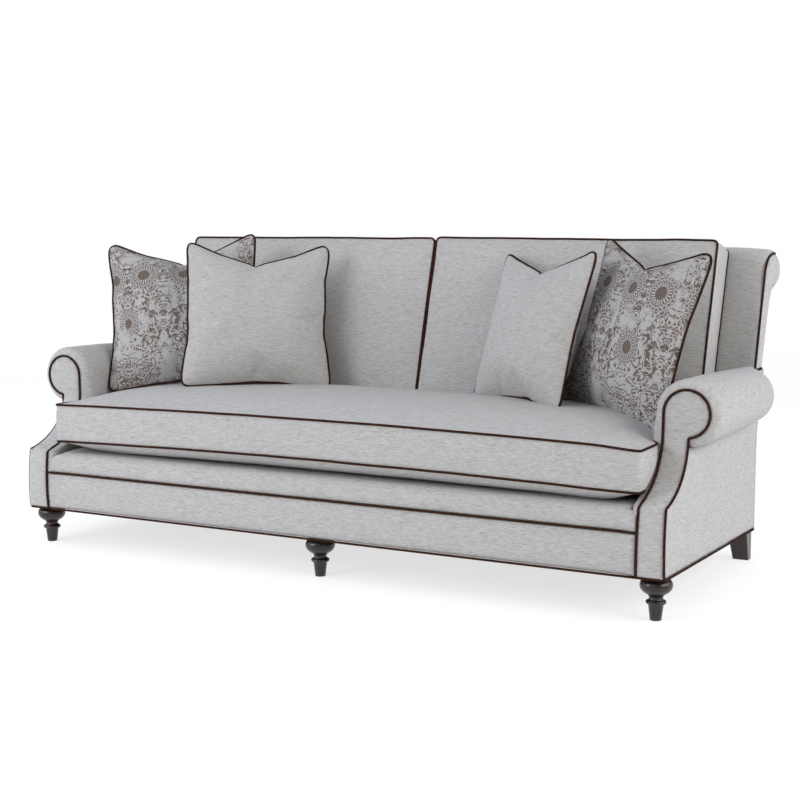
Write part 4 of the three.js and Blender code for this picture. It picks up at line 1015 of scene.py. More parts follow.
def keyhole():
    """The facing's seam in (x, z), from its outer foot round to its inner foot."""
    head = arc((ROLL_X, ROLL_Z), FACE_RADIUS, NOTCH - math.pi / 2, math.pi, 44)
    outer = [(HALF_BASE, z) for z in PROFILE[:, 1] if z < head[0][1] - 2]
    inner = [(inner_seam_at(z), z) for z in np.linspace(ROLL_Z, BASE_BOTTOM, 40)[1:]]
    return np.array(outer + head + inner)


def facing_place(x, z, height, side):
    return (side * x, front_at(z) - height if z < SWEEP_TOP else FACING_Y - height, z)


for name, side in SIDES:
    cover, node = f"arm_facing_cover_{name}", f"arm_facing_{name}"
    puffed_panel(cover, node, keyhole(), side, facing_place, puff=3.5, soft_edge=9, step=9)

# %% Facing cords
CORD_STAND = 2.4  # how far the cords stand before the facing
LEFT_CORD_BACK = 5.5  # the left facing's outer cord is drawn round its edge
CORD_BACK_FADE = 40


def cord_stand(x, z, side):
    if side > 0 or x < HALF_BASE:
        return CORD_STAND
    return CORD_STAND - LEFT_CORD_BACK * ease((SWEEP_TOP - z) / CORD_BACK_FADE)


for name, side in SIDES:
    line = []
    for x, z in keyhole():
        _, y, _ = facing_place(x, z, cord_stand(x, z, side), side)
        line.append((side * x, y, max(z, BASE_BOTTOM + 1)))
    welt = cord_piece(f"arm_cord_{name}", [line], closed=False)
    finish_piece(welt, "sofa_frame", "piping", f"arm_welt_{name}")

# %% [markdown]
# ## Outside arms
# The outside of each arm is one flat cover from the facing's seam to the rear corner. Behind the
# roll it runs on up to the foot of the back.

# %% Outside arm covers
UNDER_ROLL = ROLL_Z - math.sqrt(ROLL_RADIUS**2 - (HALF_BASE - ROLL_X) ** 2)


def outside_arm_outline():
    front = [(y, z) for y, z in PROFILE if z < UNDER_ROLL]
    top = [(FACING_Y + 6, UNDER_ROLL), (TAPER_FROM, UNDER_ROLL)]
    roll_end = [(ROLL_REAR - 30, UNDER_ROLL + ROLL_TAPER + 3), (ROLL_REAR - 42, UNDER_ROLL + 30)]
    heel = [(inside_back(ROLL_Z) - DISH - 20, ROLL_Z), (inside_back(HEEL_TOP) - DISH, HEEL_TOP)]
    rear = [(outside_back(HEEL_TOP), HEEL_TOP), (outside_back(RAKE_FROM), RAKE_FROM)]
    return np.array(front + top + roll_end + heel + rear + [(BASE_DEPTH, BASE_BOTTOM)])


def outside_arm_place(y, z, height, side):
    return (side * (HALF_BASE - 2 + height), y, z)


for name, side in SIDES:
    cover, node = f"arm_outside_cover_{name}", f"arm_outside_{name}"
    puffed_panel(cover, node, outside_arm_outline(), side, outside_arm_place, puff=2.6, soft_edge=14, step=15)

# %% [markdown]
# ## Back
# The inside back comes up behind the cushions at a rake, rolls over the top and ends under the
# scroll. Between the arms it is hollow, so that the cushions sit in it; at each side a strip stands
# forward and meets the end panel's seam. One profile serves all: the middle sheet and two wings.

# %% Back profile
SHOULDER = SCROLL_Z - SCROLL_RADIUS * 0.35
SCROLL_UNDER = SCROLL_Z - SCROLL_RADIUS


def back_profile(forward, floor):
    """The padded back from the side in (y, z), from its foot up, over and under the scroll."""
    up = [(inside_back(z) - forward, z) for z in np.linspace(floor, SHOULDER, 40)]
    pull_z = SCROLL_Z + SCROLL_RADIUS * 0.75
    pull = (inside_back(pull_z) - forward, SCROLL_Z + SCROLL_RADIUS * 0.98)
    over = bezier([up[-1], pull, (SCROLL_Y, SCROLL_Z + SCROLL_RADIUS)], 14)
    roll = arc((SCROLL_Y, SCROLL_Z), SCROLL_RADIUS, math.pi / 2, -math.pi * 0.55, 26)
    tail = (outside_back(SCROLL_UNDER) - 4, SCROLL_UNDER - 2)
    return np.array(up[:-1] + over.tolist() + roll[1:] + [tail])


def profile_normals(profile):
    run = np.gradient(profile, axis=0)
    run /= np.linalg.norm(run, axis=1)[:, None]
    return np.stack([-run[:, 1], run[:, 0]], 1)


# %% Back cover
WING_INNER = ARM_INNER - 41
WING_DROOP = 5  # how much the roll's top falls towards its end
END_ROUND = 17
END_INSET = 16.5  # how far the cover has turned in at its end, over the scroll
FOOT_INSET = 3  # the same lower down
INSET_FROM, INSET_RISE = SCROLL_Z - 90, 70  # where the one goes over into the other
BACK_HALF = HALF_BASE - 12
END_FACE = BACK_HALF + 3


def back_sheet(columns, floor):
    """Columns is a list of (x, forward, inset)."""
    grid = []
    for x, forward, inset in columns:
        profile = back_profile(forward, floor)
        normals = profile_normals(profile)
        height = profile[:, 1]
        scroll_share = np.clip((height - INSET_FROM) / INSET_RISE, 0, 1)
        scroll_share[profile[:, 0] > SCROLL_Y - 20] = 1
        at_end = inset * (FOOT_INSET + (END_INSET - FOOT_INSET) * scroll_share) / END_INSET
        profile = profile - normals * at_end[:, None]
        grid.append([(x, y, z) for y, z in profile])
    return np.transpose(np.array(grid), (1, 0, 2))


def wing_columns(side):
    """The strip beside a back cushion, which comes forward evenly to the end panel."""
    columns = []
    outer = END_FACE - END_ROUND
    for x in np.linspace(WING_INNER, outer, 18):
        share = (x - WING_INNER) / (outer - WING_INNER)
        columns.append((x, DISH * share, WING_DROOP * share**2))
    for turn in np.linspace(0, math.pi / 2, 8)[1:]:
        inset = WING_DROOP + (END_INSET - WING_DROOP) * (1 - math.cos(turn))
        columns.append((outer + END_ROUND * math.sin(turn), DISH, inset))
    made = [(side * x, forward, inset) for x, forward, inset in columns]
    return made if side > 0 else made[::-1]


middle_columns = [(x, 0, 0) for x in np.linspace(-WING_INNER, WING_INNER, 128)]
strips = (middle_columns, wing_columns(1), wing_columns(-1))
sheets = [back_sheet(columns, DECK_TOP - 6) for columns in strips]
back_cover = sheet_piece("back_cover", sheets, linen, flip=True)
soften(back_cover, 1.2, 150, 8)
frame_cover(back_cover, "back_pad", fill=0.95)
print("back cover points:", len(back_cover.data.vertices))

# %% [markdown]
# ## Ends of the back
# Each end panel has the back's own side shape, inside a seam that runs up its front edge, round the
# scroll and down its rear. It is domed most over the scroll, where the stuffing is thickest.

# %% End panels
END_FOOT = HEEL_TOP + 3.4
SUNK_CORD = 14  # how deep the cord lies under the dome on the rear side
SINKING = 20  # length over which it sinks
SEAM_INSET = 2.8  # how far the seam lies inside the back's own edge
CORD_X = BACK_HALF + 4.4
DOME_FROM, DOME_RISE = SCROLL_Z - 110, 90  # heights where the dome grows
DOME_MORE = 0.9


def end_front(z):
    return inside_back(z) - DISH + SEAM_INSET


def end_outline():
    """The seam round the end panel in (y, z)."""
    shoulder = SCROLL_Z - SCROLL_RADIUS * 0.25
    up = [(end_front(z), z) for z in np.linspace(END_FOOT, shoulder, 24)]
    pull = (end_front(SCROLL_Z + SCROLL_SEAM * 0.9), SCROLL_Z + SCROLL_SEAM * 0.95)
    over = bezier([up[-1], pull, (SCROLL_Y, SCROLL_Z + SCROLL_SEAM)], 12)
    roll = arc((SCROLL_Y, SCROLL_Z), SCROLL_SEAM, math.pi / 2, -math.pi * 0.62, 20)
    under = SCROLL_Z - SCROLL_RADIUS * 1.15
    rear = [(outside_back(z) - SEAM_INSET, z) for z in np.linspace(under, END_FOOT, 16)]
    return np.array(up[:-1] + over.tolist() + roll[1:] + rear)


def end_place(y, z, height, side):
    scroll_share = min(1, max(0, (z - DOME_FROM) / DOME_RISE))
    return (side * (END_FACE + height * (1 + DOME_MORE * scroll_share)), y, z)


def sunk_depth(y, z):
    """How deep the cord lies at a place: on top in front and along the foot, sunk on the rear."""
    past_top = (y - SCROLL_Y - 12) / SINKING
    down_rear = (END_FOOT + 3 < z < SCROLL_Z) * (y - inside_back(z) - 30) / SINKING
    return SUNK_CORD * min(1, max(0, past_top, down_rear))


for name, side in SIDES:
    cover, node = f"back_end_cover_{name}", f"back_end_{name}"
    puffed_panel(cover, node, end_outline(), side, end_place, puff=8.5, soft_edge=14, step=9)
    seam = resample(end_outline(), 12)
    line = [(side * (CORD_X - sunk_depth(y, z)), y, z) for y, z in seam]
    welt = cord_piece(f"back_end_cord_{name}", [line])
    finish_piece(welt, "sofa_frame", "piping", f"back_end_welt_{name}")

# %% [markdown]
# ## Outside back
# The rear of the sofa is one plain cover from the scroll down to the bottom edge, straight up
# behind the seat and raked above it.

# %% Outside back cover
BACK_CREASE, BACK_CREASE_HEIGHT = 2.5, 60  # the cover stands off where the rake begins


def outside_back_outline():
    base = [(HALF_BASE, BASE_BOTTOM), (HALF_BASE, RAKE_FROM), (HALF_BASE, HEEL_TOP)]
    top = [(BACK_HALF + 2, HEEL_TOP + 4), (BACK_HALF + 2, SCROLL_UNDER - 1)]
    side = base + top
    return np.array(side + [(-x, z) for x, z in side[::-1]])


def outside_back_place(x, z, height, side):
    crease = BACK_CREASE * math.exp(-(((z - RAKE_FROM) / BACK_CREASE_HEIGHT) ** 2))
    return (x, outside_back(z) - 2 + height + crease, z)


puffed_panel(
    "back_outside_cover", "back_outside", outside_back_outline(), 1, outside_back_place,
    puff=2.4, soft_edge=14, step=20,
)

# %% [markdown]
# ## Seat deck and front border
# Under the seat cushion lies a padded deck. Its front edge is a soft roll above the border, and a
# cord runs along the seam between the two. The border is a flat strip over the front rail.

# %% Deck
DECK_EDGE = 26
DECK_END = 40
DECK_END_DROP = {1: 7, -1: 30}  # by side
DROP_FADE = 40  # how soon the drop is gone behind the deck's front edge
FACING_SIDE = INNER_FOOT - 3
MEETING = 60  # width beside a facing over which the front comes to meet it


def end_drop(x, y, z, wide):
    """How far the deck falls away beside the facings, where its cover is tucked in."""
    along = min(1, max(0, (abs(x) - wide + DECK_END) / DECK_END))
    share = (z - RAIL_TOP) / (DECK_TOP - RAIL_TOP) * math.exp(-max(0, y - DECK_EDGE) / DROP_FADE)
    return DECK_END_DROP[1 if x > 0 else -1] * share * (1 - math.sqrt(1 - along**2))


def meet_facing(x, z):
    """How far the front comes forward beside a facing, to meet its cord."""
    near = max(0, 1 - (FACING_SIDE - abs(x)) / MEETING)
    return max(0, -front_at(z)) * near**2


def deck_sheet():
    foot = RAIL_TOP + 1.5
    edge = arc((DECK_EDGE, DECK_TOP - DECK_EDGE), DECK_EDGE, math.pi, math.pi / 2, 9)
    rear = [(y, DECK_TOP) for y in np.linspace(DECK_EDGE, inside_back(DECK_TOP) - 1, 34)[1:]]
    tucked = [(2.5, foot), (0.4, foot + 4), (-1.0, foot + 12), (-1.4, foot + 22), (-0.8, foot + 32)]
    grid = []
    for y, z in tucked + edge + rear:
        wide = FACING_SIDE if y < 10 else ARM_INNER - 0.5
        ends = np.linspace(wide - DECK_END, wide, 9)
        xs = np.concatenate([-ends[::-1], np.linspace(DECK_END - wide, wide - DECK_END, 110)[1:-1], ends])
        grid.append([(x, y - (y < 10) * meet_facing(x, z), z - end_drop(x, y, z, wide)) for x in xs])
    return np.array(grid)


deck = sheet_piece("deck_cover", [deck_sheet()], linen, flip=True)
soften(deck, 0.8, 120, 5)
frame_cover(deck, "seat_deck", fill=0.9)
print("deck points:", len(deck.data.vertices))

# %% Front border and its cord
BORDER_SIDE = INNER_FOOT - 1
border_half = [(BORDER_SIDE, BASE_BOTTOM), (BORDER_SIDE, RAIL_TOP - 1)]
border_outline = [(-BORDER_SIDE, BASE_BOTTOM)] + border_half + [(-BORDER_SIDE, RAIL_TOP - 1)]


def border_place(x, z, height, side):
    return (x, 1.2 - height - meet_facing(x, z), z)


puffed_panel(
    "front_border_cover", "front_border", border_outline, 1, border_place,
    puff=3.2, soft_edge=12, step=14,
)

rail_xs = np.linspace(-FACING_SIDE + 1, FACING_SIDE - 1, 60)
rail_line = [(x, -2.4 - meet_facing(x, RAIL_TOP), RAIL_TOP) for x in rail_xs]
rail_cord = cord_piece("rail_cord", [rail_line], closed=False)
finish_piece(rail_cord, "sofa_frame", "piping", "rail_welt")

# %% [markdown]
# The bottom edge of the whole base carries the same cord. It bows out a little over each arm's foot
# and turns every corner in a small round.

# %% Base cord
CORNER = 9


def base_line():
    z = BASE_BOTTOM - 2.9
    x, front, rear = HALF_BASE - CORNER, -TOE_BULGE / 2 + CORNER, BASE_DEPTH - 2.8 - CORNER
    line = []
    for centre, start in (((x, front), -90), ((x, rear), 0), ((-x, rear), 90), ((-x, front), 180)):
        line += arc(centre, CORNER, math.radians(start), math.radians(start + 90), 5)
    return resample(np.array([(x, y, z) for x, y in line]), 40)


base_cord = cord_piece("base_cord", [base_line()])
finish_piece(base_cord, "sofa_frame", "piping", "base_welt")

# %% [markdown]
# ## Boxed cushions
# The seat cushion and the back cushions are boxed: an upper and a lower panel with a band between,
# and a cord in each seam. The mesh follows the cutting plan, so seams are rows of its edges.
# Cloth simulation then blows the stuffing up from inside, held along the seams.

# %% Boxed cushion mesh


def stations(half, edge, fine, coarse):
    """Places from -half to half, closer together near both ends."""
    inner = half - edge
    middle = np.linspace(-inner, inner, max(2, round(2 * inner / coarse)) + 1)
    rim = np.linspace(inner, half, max(2, round(edge / fine)) + 1)[1:]
    return np.concatenate([-rim[::-1], middle, rim])


def rounded(x, y, half_x, half_y, radius):
    """Moves a point of a rectangle so that the rectangle's corners are round."""
    a = (abs(x) - (half_x - radius)) / radius
    b = (abs(y) - (half_y - radius)) / radius
    if a <= 0 or b <= 0:
        return x, y
    across = half_x - radius + radius * a * math.sqrt(1 - b * b / 2)
    deep = half_y - radius + radius * b * math.sqrt(1 - a * a / 2)
    return math.copysign(across, x), math.copysign(deep, y)


def add_panel(mesh, plan, rows, columns, way, numbers):
    """Adds one panel's faces. Plan and numbers give each place's spot on the cloth and its point."""
    for face in grid_faces(rows, columns, flip=way < 0):
        mesh.faces.append([numbers[k] for k in face])
        mesh.maps.append([plan[k] for k in face])


class Boxed:
    """The mesh of a boxed cushion about its own middle, with its seams."""

    def __init__(
        self, half_x, half_y, half_z, radius, crown, belly, power_x, power_y,
        draw_in, bulge, step, rise=0, floor=None,
    ):
        xs, ys = stations(half_x, radius, radius / 4, step), stations(half_y, radius, radius / 4, step)
        self.points, self.faces, self.maps = [], [], []
        self.seams = {}
        nx, ny = len(xs), len(ys)
        places = [(x, y) for x in xs for y in ys]

        def plan(x, y, out=0):
            u, v = x / half_x, y / half_y
            px, py = rounded(x, y, half_x, half_y, radius)
            px *= 1 - (draw_in * (1 - v * v) - out) / half_x * abs(u) ** 3
            py *= 1 - (draw_in * (1 - u * u) - out) / half_y * abs(v) ** 3
            return px, py

        def seam_height(x):
            return rise * (1 - (x / half_x) ** 2)

        rim = ring_cells(nx, ny)
        for way, lift in ((1, crown), (-1, belly)):
            first = len(self.points)
            for x, y in places:
                u, v = abs(x / half_x), abs(y / half_y)
                px, py = plan(x, y)
                end = power_x[1] if way < 0 and x > 0 else power_x[0]
                steep = power_y[0] if way > 0 else power_y[1]
                z = seam_height(x) + way * (half_z + lift * (1 - u**end) * (1 - v**steep))
                if floor is not None:
                    z = max(z, floor)
                self.points.append((px, py, z))
            add_panel(self, places, nx, ny, way, range(first, len(self.points)))
            self.seams[way] = [first + i * ny + j for i, j in rim]
        band = max(3, round(2 * half_z / step))
        rows = [self.seams[-1]]
        for k in range(1, band):
            w = -1 + 2 * k / band
            rows.append(list(range(len(self.points), len(self.points) + len(rim))))
            for i, j in rim:
                px, py = plan(xs[i], ys[j], bulge * (1 - w * w))
                self.points.append((px, py, seam_height(xs[i]) + w * half_z))
        rows.append(self.seams[1])
        corner = np.array([self.points[k] for k in self.seams[1]])
        far = np.concatenate([[0], np.cumsum(np.linalg.norm(np.roll(corner, -1, 0) - corner, axis=1))])
        for r in range(band):
            low, high = -half_z + 2 * half_z * r / band, -half_z + 2 * half_z * (r + 1) / band
            for i in range(len(rim)):
                n = (i + 1) % len(rim)
                self.faces.append([rows[r][i], rows[r][n], rows[r + 1][n], rows[r + 1][i]])
                self.maps.append([(far[i], low), (far[i + 1], low), (far[i + 1], high), (far[i], high)])


def stand(points, place, turn):
    """Points about a cushion's own middle, put where it stands in the sofa."""
    return np.asarray(points, float) @ np.array(turn).T + np.array(place, float)


print("cushion mesh ready")

# %% [markdown]
# ## Plumping by simulation
# Cloth with inner pressure behaves as a cover does round its stuffing: it swells where it is free,
# stays in along the seams and wrinkles where it has cloth to spare. A cap keeps any point from
# moving further than the stuffing could push it, and the wrinkled shape is then written to the mesh.

# %% Cloth simulation
SEAM_HOLD = 0.75  # how firmly the seams are held


def points_of(mesh):
    """A mesh's points in metres."""
    flat = np.empty(len(mesh.vertices) * 3)
    mesh.vertices.foreach_get("co", flat)
    return flat.reshape(-1, 3)


def move_points(piece, points):
    piece.data.vertices.foreach_set("co", points.ravel())
    piece.data.update()


def eased_ring(line, passes):
    """Evens out the points of a closed line, as a cord does."""
    for _ in range(passes):
        line = line * 0.5 + (np.roll(line, 1, 0) + np.roll(line, -1, 0)) * 0.25
    return line


def plump(piece, pressure, cap, frames=18, held=(), stiffness=12, bending=0.6):
    """Runs cloth with pressure on a closed mesh and keeps the result. Held lists seam points."""
    scene = bpy.context.scene
    start = points_of(piece.data)
    cloth = piece.modifiers.new("cloth", "CLOTH")
    settings = cloth.settings
    settings.quality = 6
    settings.mass = 0.25
    settings.tension_stiffness = stiffness
    settings.compression_stiffness = stiffness
    settings.shear_stiffness = stiffness * 0.4
    settings.bending_stiffness = bending
    settings.use_pressure = True
    settings.uniform_pressure_force = pressure
    settings.effector_weights.gravity = 0
    cloth.collision_settings.use_collision = False
    cloth.point_cache.frame_start, cloth.point_cache.frame_end = 1, frames
    if len(held):
        group = piece.vertex_groups.new(name="seams")
        group.add([int(k) for k in held], SEAM_HOLD, "REPLACE")
        settings.vertex_group_mass = "seams"
        settings.pin_stiffness = 4
    for frame_number in range(1, frames + 1):
        scene.frame_set(frame_number)
    shape = piece.evaluated_get(bpy.context.evaluated_depsgraph_get()).to_mesh()
    push = points_of(shape) - start
    push -= push.mean(0)
    far = np.linalg.norm(push, axis=1)
    push *= (np.minimum(far, cap * MM) / np.maximum(far, 1e-9))[:, None]
    piece.modifiers.remove(cloth)
    piece.vertex_groups.clear()
    move_points(piece, start + push)
    scene.frame_set(1)
    print(piece.name, "moved at most, mm:", round(float(far.max()) * 1000, 1))


def reshape(piece, change):
    """Changes a piece's points by a function that works in the sofa's own frame, in mm."""
    level = (points_of(piece.data) - np.array(SHIFT)) @ SOFA_TURN / MM
    move_points(piece, to_world(change(level)))


def seam_line(piece, loop, out):
    """A seam's points in the world in metres, eased so that the cord runs smoothly."""
    line = eased_ring(points_of(piece.data)[loop], 3)
    away = line - line.mean(0)
    return line + away / np.linalg.norm(away, axis=1)[:, None] * out * MM


def smooth_surface(piece):
    """A subdivision that smooths the simulated mesh."""
    smooth = piece.modifiers.new("smooth", "SUBSURF")
    smooth.levels = smooth.render_levels = 1


print("simulation ready")

# %% Seat cushion
SEAT = dict(
    half_x=949, half_y=346.5, half_z=57, radius=16, crown=40, belly=46,
    power_x=(9, 22), power_y=(3.4, 12), draw_in=5, bulge=3, rise=12, step=15,
)
SEAT_PLACE = (0, 342.5, 382.5)
SEAT_FLOOR = DECK_TOP + 1.0
CORNER_SWELL = {1: 31, -1: -8}  # how far each front corner swells out before the arm, by side
CORNER_DROOP = {1: 6, -1: 0}
SWELL_REACH = 80
HELD_TO, HELD_FADE = 18, 30  # how far behind its front the arm starts to hold the cushion

seat = Boxed(**SEAT, floor=SEAT_FLOOR - SEAT_PLACE[2])


def swell_corners(points):
    """Where the arms sweep back, nothing holds the cushion's sides, so they swell out."""
    made = []
    for x, y, z in points:
        way = 1 if x > 0 else -1
        at_side = min(1, max(0, (abs(x) - SEAT["half_x"] + SWELL_REACH) / SWELL_REACH))
        arm_front = front_at(max(z + SEAT_PLACE[2], RAIL_TOP))
        free = (arm_front + HELD_TO - y - SEAT_PLACE[1]) / HELD_FADE
        level = ease((z / SEAT["half_z"] + 1) / 2)
        droop = CORNER_DROOP[way] * at_side * level * ease((0.2 - y / SEAT["half_y"]) * 2)
        made.append((x + way * CORNER_SWELL[way] * at_side**2 * ease(free), y, z - droop))
    return made


PRESS_LINE = (608, 470)  # y and z where the back cushions' lower edges start
PRESS_SLOPE = -math.tan(math.radians(15))
PRESS_EDGE = 6  # how softly the pressed part begins


def pressed(points):
    """The back cushions press the rear of the seat cushion down along a sloping plane."""
    deep = points[:, 1] - PRESS_LINE[0]
    plane = PRESS_LINE[1] + PRESS_SLOPE * deep
    over = (deep > 0) & (points[:, 2] > plane)
    points[over, 2] = plane[over] + (points[over, 2] - plane[over]) * np.exp(-deep[over] / PRESS_EDGE)
    return points


seat.points = swell_corners(seat.points)
seat_points = stand(seat.points, SEAT_PLACE, np.eye(3))
seat_cushion = new_piece("seat_cushion_cover", seat_points, seat.faces, linen, seat.maps)
plump(seat_cushion, pressure=5.0, cap=9, held=seat.seams[1] + seat.seams[-1])
reshape(seat_cushion, pressed)
soften(seat_cushion, 1.6, 170, 11)
smooth_surface(seat_cushion)
finish_piece(seat_cushion, "seat_cushion", "linen", "seat_cushion", fill=0.85)
for name, way in (("top", 1), ("bottom", -1)):
    seam = seam_line(seat_cushion, seat.seams[way], out=1.5)
    welt = cord_piece(f"seat_cushion_{name}_cord", [seam], world=True)
    finish_piece(welt, "seat_cushion", "piping", f"seat_cushion_{name}_welt")
print("seat cushion points:", len(seat_cushion.data.vertices))

# %% [markdown]
# ## Back cushions
# The two back cushions lean against the back and meet in the middle of the sofa. Each has a crowned
# front, a flat rear and a cord in both of its seams.

# %% Back cushions
BACK_CUSHION = dict(
    half_y=254.5, half_z=53.5, radius=14, crown=26, belly=1.5,
    power_x=(3.4, 3.4), power_y=(3.0, 3.0), draw_in=1, bulge=2, step=14,
)
BACK_CUSHIONS = {  # half its width, place, degrees that it hangs from level
    "right": (462, (465.1, 735.2, 698.7), 0.25),
    "left": (472.5, (-475.6, 735.0, 698.0), 0.0),
}
CUSHION_RAKE = 75  # degrees up from lying flat


def turned(degrees, axis):
    return Matrix.Rotation(math.radians(degrees), 3, axis)


for number, (name, (half_x, place, hang)) in enumerate(BACK_CUSHIONS.items()):
    body = f"back_cushion_{name}"
    boxed = Boxed(half_x=half_x, **BACK_CUSHION)
    points = stand(boxed.points, place, turned(CUSHION_RAKE, "X") @ turned(-hang, "Z"))
    cushion = new_piece(f"{body}_cover", points, boxed.faces, linen, boxed.maps)
    plump(cushion, pressure=4.0, cap=7, held=boxed.seams[1] + boxed.seams[-1])
    soften(cushion, 1.8, 140, 17 + number)
    smooth_surface(cushion)
    finish_piece(cushion, body, "linen", body, fill=0.8)
    seams = [seam_line(cushion, boxed.seams[1], out=0.8), seam_line(cushion, boxed.seams[-1], out=-0.6)]
    welt = cord_piece(f"{body}_cord", seams, world=True)
    finish_piece(welt, body, "piping", f"{body}_welt")

# %% [markdown]
# ## Throw pillows
# A throw pillow is two flat squares sewn together with a cord in the seam and stuffed with down.
# Blown up from flat, its sides draw in, its corners stay out as ears and the cloth ripples beside
# the seams. That can't be drawn well by hand, so the simulation starts from the two flat squares.
# Each pillow is then chopped: a blow on its upper edge leaves a dip in the middle and two horns.

# %% Pillow mesh
PILLOW_CUT = 506  # side of each flat square
PILLOW_FULL = 142  # thickness that a pillow reaches
PILLOW_CELLS = 46
PILLOW_CORNER = 20
FIRST_SWELL = 9  # half the thickness that the simulation starts from
RIM_EASING = 8  # passes that even out the seam, as its cord does
NOTCH_DEPTH = 9  # sharp end of the chop
NOTCH_WIDTH = 0.05  # this and the next two are shares of the pillow's half
CREASE_WIDTH = 0.16
DIP_WIDTH = 0.93
CREASE_DEPTH = 0.40  # share of the thickness that the chop takes
RIPPLE = 1.2  # mm of unevenness that the simulation starts from
DRAW_SHARE = 0.42  # share of the simulated drawing-in that is kept, as stiff cloth gives


class Pillow:
    """Two flat squares with rounded corners, joined along their rim."""

    def __init__(self):
        half = PILLOW_CUT / 2
        ticks = np.linspace(-half, half, PILLOW_CELLS + 1)
        count = len(ticks)
        places = [(x, y) for x in ticks for y in ticks]
        self.points, self.faces, self.maps = [], [], []
        self.rim = [i * count + j for i, j in ring_cells(count, count)]
        on_rim = set(self.rim)
        for way in (1, -1):
            numbers = []
            for k, (x, y) in enumerate(places):
                if way < 0 and k in on_rim:
                    numbers.append(k)
                    continue
                numbers.append(len(self.points))
                swell = math.sqrt(max(0, (1 - (x / half) ** 2) * (1 - (y / half) ** 2)))
                self.points.append((*rounded(x, y, half, half, PILLOW_CORNER), way * FIRST_SWELL * swell))
            add_panel(self, places, count, count, way, numbers)


def chop(points, dip, side, dent, draw):
    """Presses the upper edge in at its middle, draws its corners in and creases both faces."""
    half = side / 2
    made = points.copy()
    u = (made[:, 0] - dent * half) / half
    v = made[:, 1] / half
    near_top = np.clip(v, 0, 1.1) ** 3.2
    slope = np.clip(1 - np.abs(u) / DIP_WIDTH, 0, 1)
    notch = NOTCH_DEPTH * np.exp(-np.abs(u) / NOTCH_WIDTH)
    made[:, 1] -= (dip * slope + notch) * near_top
    made[:, 0] *= 1 - draw * np.clip(v, 0, 1)
    crease = np.exp(-((u / CREASE_WIDTH) ** 2)) * np.clip(v + 0.15, 0, 1) ** 1.6
    made[:, 2] *= 1 - CREASE_DEPTH * crease
    return made


print("pillow points:", len(Pillow().points))

# %% Pillows
PILLOWS = {  # place, yaw, lean, roll, side length, dip, dent share, drawn in, finish
    "pillow_patterned_left": ((-767, 423, 718), 22.0, 19.0, 5.3, 508, 96, 0.04, 0.01, "printed_linen"),
    "pillow_plain_left": ((-485, 442, 714), 35.5, 15.5, -1.7, 476, 76, -0.03, 0.035, "linen"),
    "pillow_patterned_right": ((783, 455, 702), -34.2, 14.6, -5.9, 514, 72, -0.12, 0.0, "printed_linen"),
    "pillow_plain_right": ((448, 513, 701), -31.8, 16.8, 1.2, 469, 66, -0.08, 0.005, "linen"),
}
PILLOW_CLOTHS = {"linen": linen, "printed_linen": printed_linen}


def stuff_pillow(name, seed):
    """Simulates one pillow lying flat at the origin, and gives its points in mm."""
    pillow = Pillow()
    points = np.array(pillow.points)
    places = [Vector((x / 60 + seed * 5.3, y / 60, z / 40 + seed)) for x, y, z in points]
    points[:, 2] += np.array([noise.noise(place) for place in places]) * RIPPLE
    blank = new_piece(name + "_blank", points * MM, pillow.faces, linen, world=True)
    plump(blank, pressure=9.0, cap=200, frames=34, stiffness=26, bending=0.12)
    shape = points_of(blank.data) / MM
    bpy.data.objects.remove(blank)
    shape -= shape.mean(0)
    shape[:, 2] *= PILLOW_FULL / np.ptp(shape[:, 2])
    return pillow, shape


for seed, (name, values) in enumerate(PILLOWS.items()):
    place, yaw, lean, roll, side, dip, dent, draw, slot = values
    pillow, shape = stuff_pillow(name, seed)
    even = np.array(pillow.points)[:, :2] * side / PILLOW_CUT
    drawn = shape[:, :2] * side / np.ptp(shape[:, :2], axis=0)
    shape[:, :2] = even + (drawn - even) * DRAW_SHARE
    shape[pillow.rim] = eased_ring(shape[pillow.rim], RIM_EASING)
    shape = chop(shape, dip, side, dent, draw)
    points = stand(shape, place, turned(yaw, "Z") @ turned(90 - lean, "X") @ turned(roll, "Z"))
    piece = new_piece(name + "_cover", points, pillow.faces, PILLOW_CLOTHS[slot], pillow.maps)
    smooth_surface(piece)
    finish_piece(piece, name, slot, name, fill=0.7)
    welt = cord_piece(name + "_cord", [points_of(piece.data)[pillow.rim]], world=True)
    finish_piece(welt, name, "piping")
    print(name, "size, mm:", np.round(np.ptp(shape, axis=0)).tolist())

# %% [markdown]
# ## Legs
# The front legs are turned: a bun, a deep neck, a thin ring and a tapered foot. A turned piece is a
# profile spun round its axis, so the profile is all that has to be drawn. The rear legs are the
# frame's own blocks with their edges eased by a Bevel modifier.

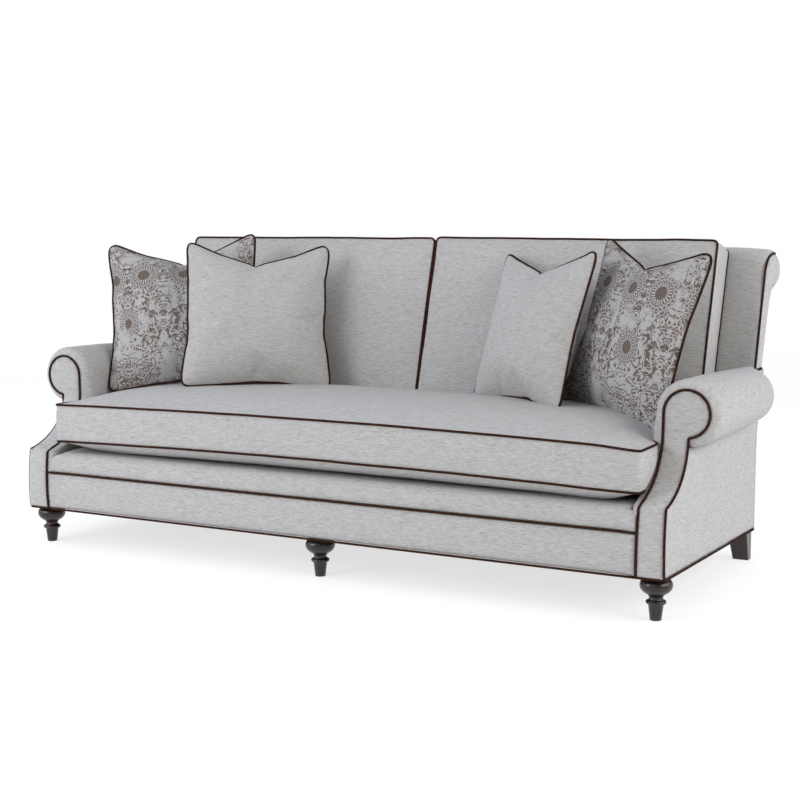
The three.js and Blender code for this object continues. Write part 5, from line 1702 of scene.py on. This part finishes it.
# %% Turned legs
LEG_HEIGHT = 118.2
BUN_RADIUS = 43
LEG_PLACES = {"left": -1012.05, "centre": 0, "right": 1012.05}
LEG_Y = 47
LEG_SHARES = [  # height and radius, as shares of the leg's height and the bun's radius
    (0.0, 0.335), (0.012, 0.355), (0.18, 0.405), (0.335, 0.46), (0.355, 0.475), (0.362, 0.56),
    (0.372, 0.60), (0.395, 0.622), (0.42, 0.61), (0.435, 0.575), (0.447, 0.50), (0.462, 0.45),
    (0.49, 0.425), (0.525, 0.44), (0.56, 0.53), (0.60, 0.70), (0.645, 0.855), (0.70, 0.955),
    (0.76, 1.0), (0.815, 0.985), (0.86, 0.93), (0.89, 0.86), (0.905, 0.79), (0.93, 0.765), (1.0, 0.76),
]
LEG_SIDES = 48

profile = np.array([(r * BUN_RADIUS, z * LEG_HEIGHT) for z, r in LEG_SHARES])
spins = np.linspace(0, 2 * math.pi, LEG_SIDES, endpoint=False)
for name, x in LEG_PLACES.items():
    points = []
    for radius, z in profile:
        points += [(x + radius * math.cos(a), LEG_Y + radius * math.sin(a), z) for a in spins]
    faces = tube_faces(len(profile), LEG_SIDES)
    faces.append(list(range(LEG_SIDES - 1, -1, -1)))
    faces.append([(len(profile) - 1) * LEG_SIDES + k for k in range(LEG_SIDES)])
    leg = new_piece(f"turned_leg_{name}", points, faces, espresso)
    finish_piece(leg, "sofa_frame", "leg_finish", f"leg_front_{name}")
print("turned leg rings:", len(profile))

# %% [markdown]
# ## Finishes on the frame's own solids
# What is left of the frame keeps its shape: rear legs, rails, posts, springs, bolts and the dust
# cover. Each takes its material by name, and the wooden parts get eased edges.

# %% Frame finishes
FINISHES = {
    "leg_rear": espresso,
    "leg_bolt": bolt_steel,
    "seat_spring_rack": spring_steel,
    "dust_cover": cambric,
}
EASED = (
    "leg_rear", "front_rail", "rear_rail", "side_rail", "centre_stretcher",
    "corner_block", "arm_", "back_post", "back_top_rail", "tack_rail",
)


def finish_for(node):
    for start, material in FINISHES.items():
        if node.startswith(start):
            return material
    return hardwood


shown = [(name, node) for name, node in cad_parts.items() if not node.hide_render]
for name, node in shown:
    node.data.materials.clear()
    node.data.materials.append(finish_for(name))
    if name.startswith(EASED):
        bevel = node.modifiers.new("eased_edges", "BEVEL")
        bevel.width = (2.2 if name.startswith("leg") else 1.2) * MM
        bevel.segments = 2
        bevel.limit_method = "ANGLE"
        bevel.angle_limit = math.radians(35)
print("frame solids shown:", len(shown))
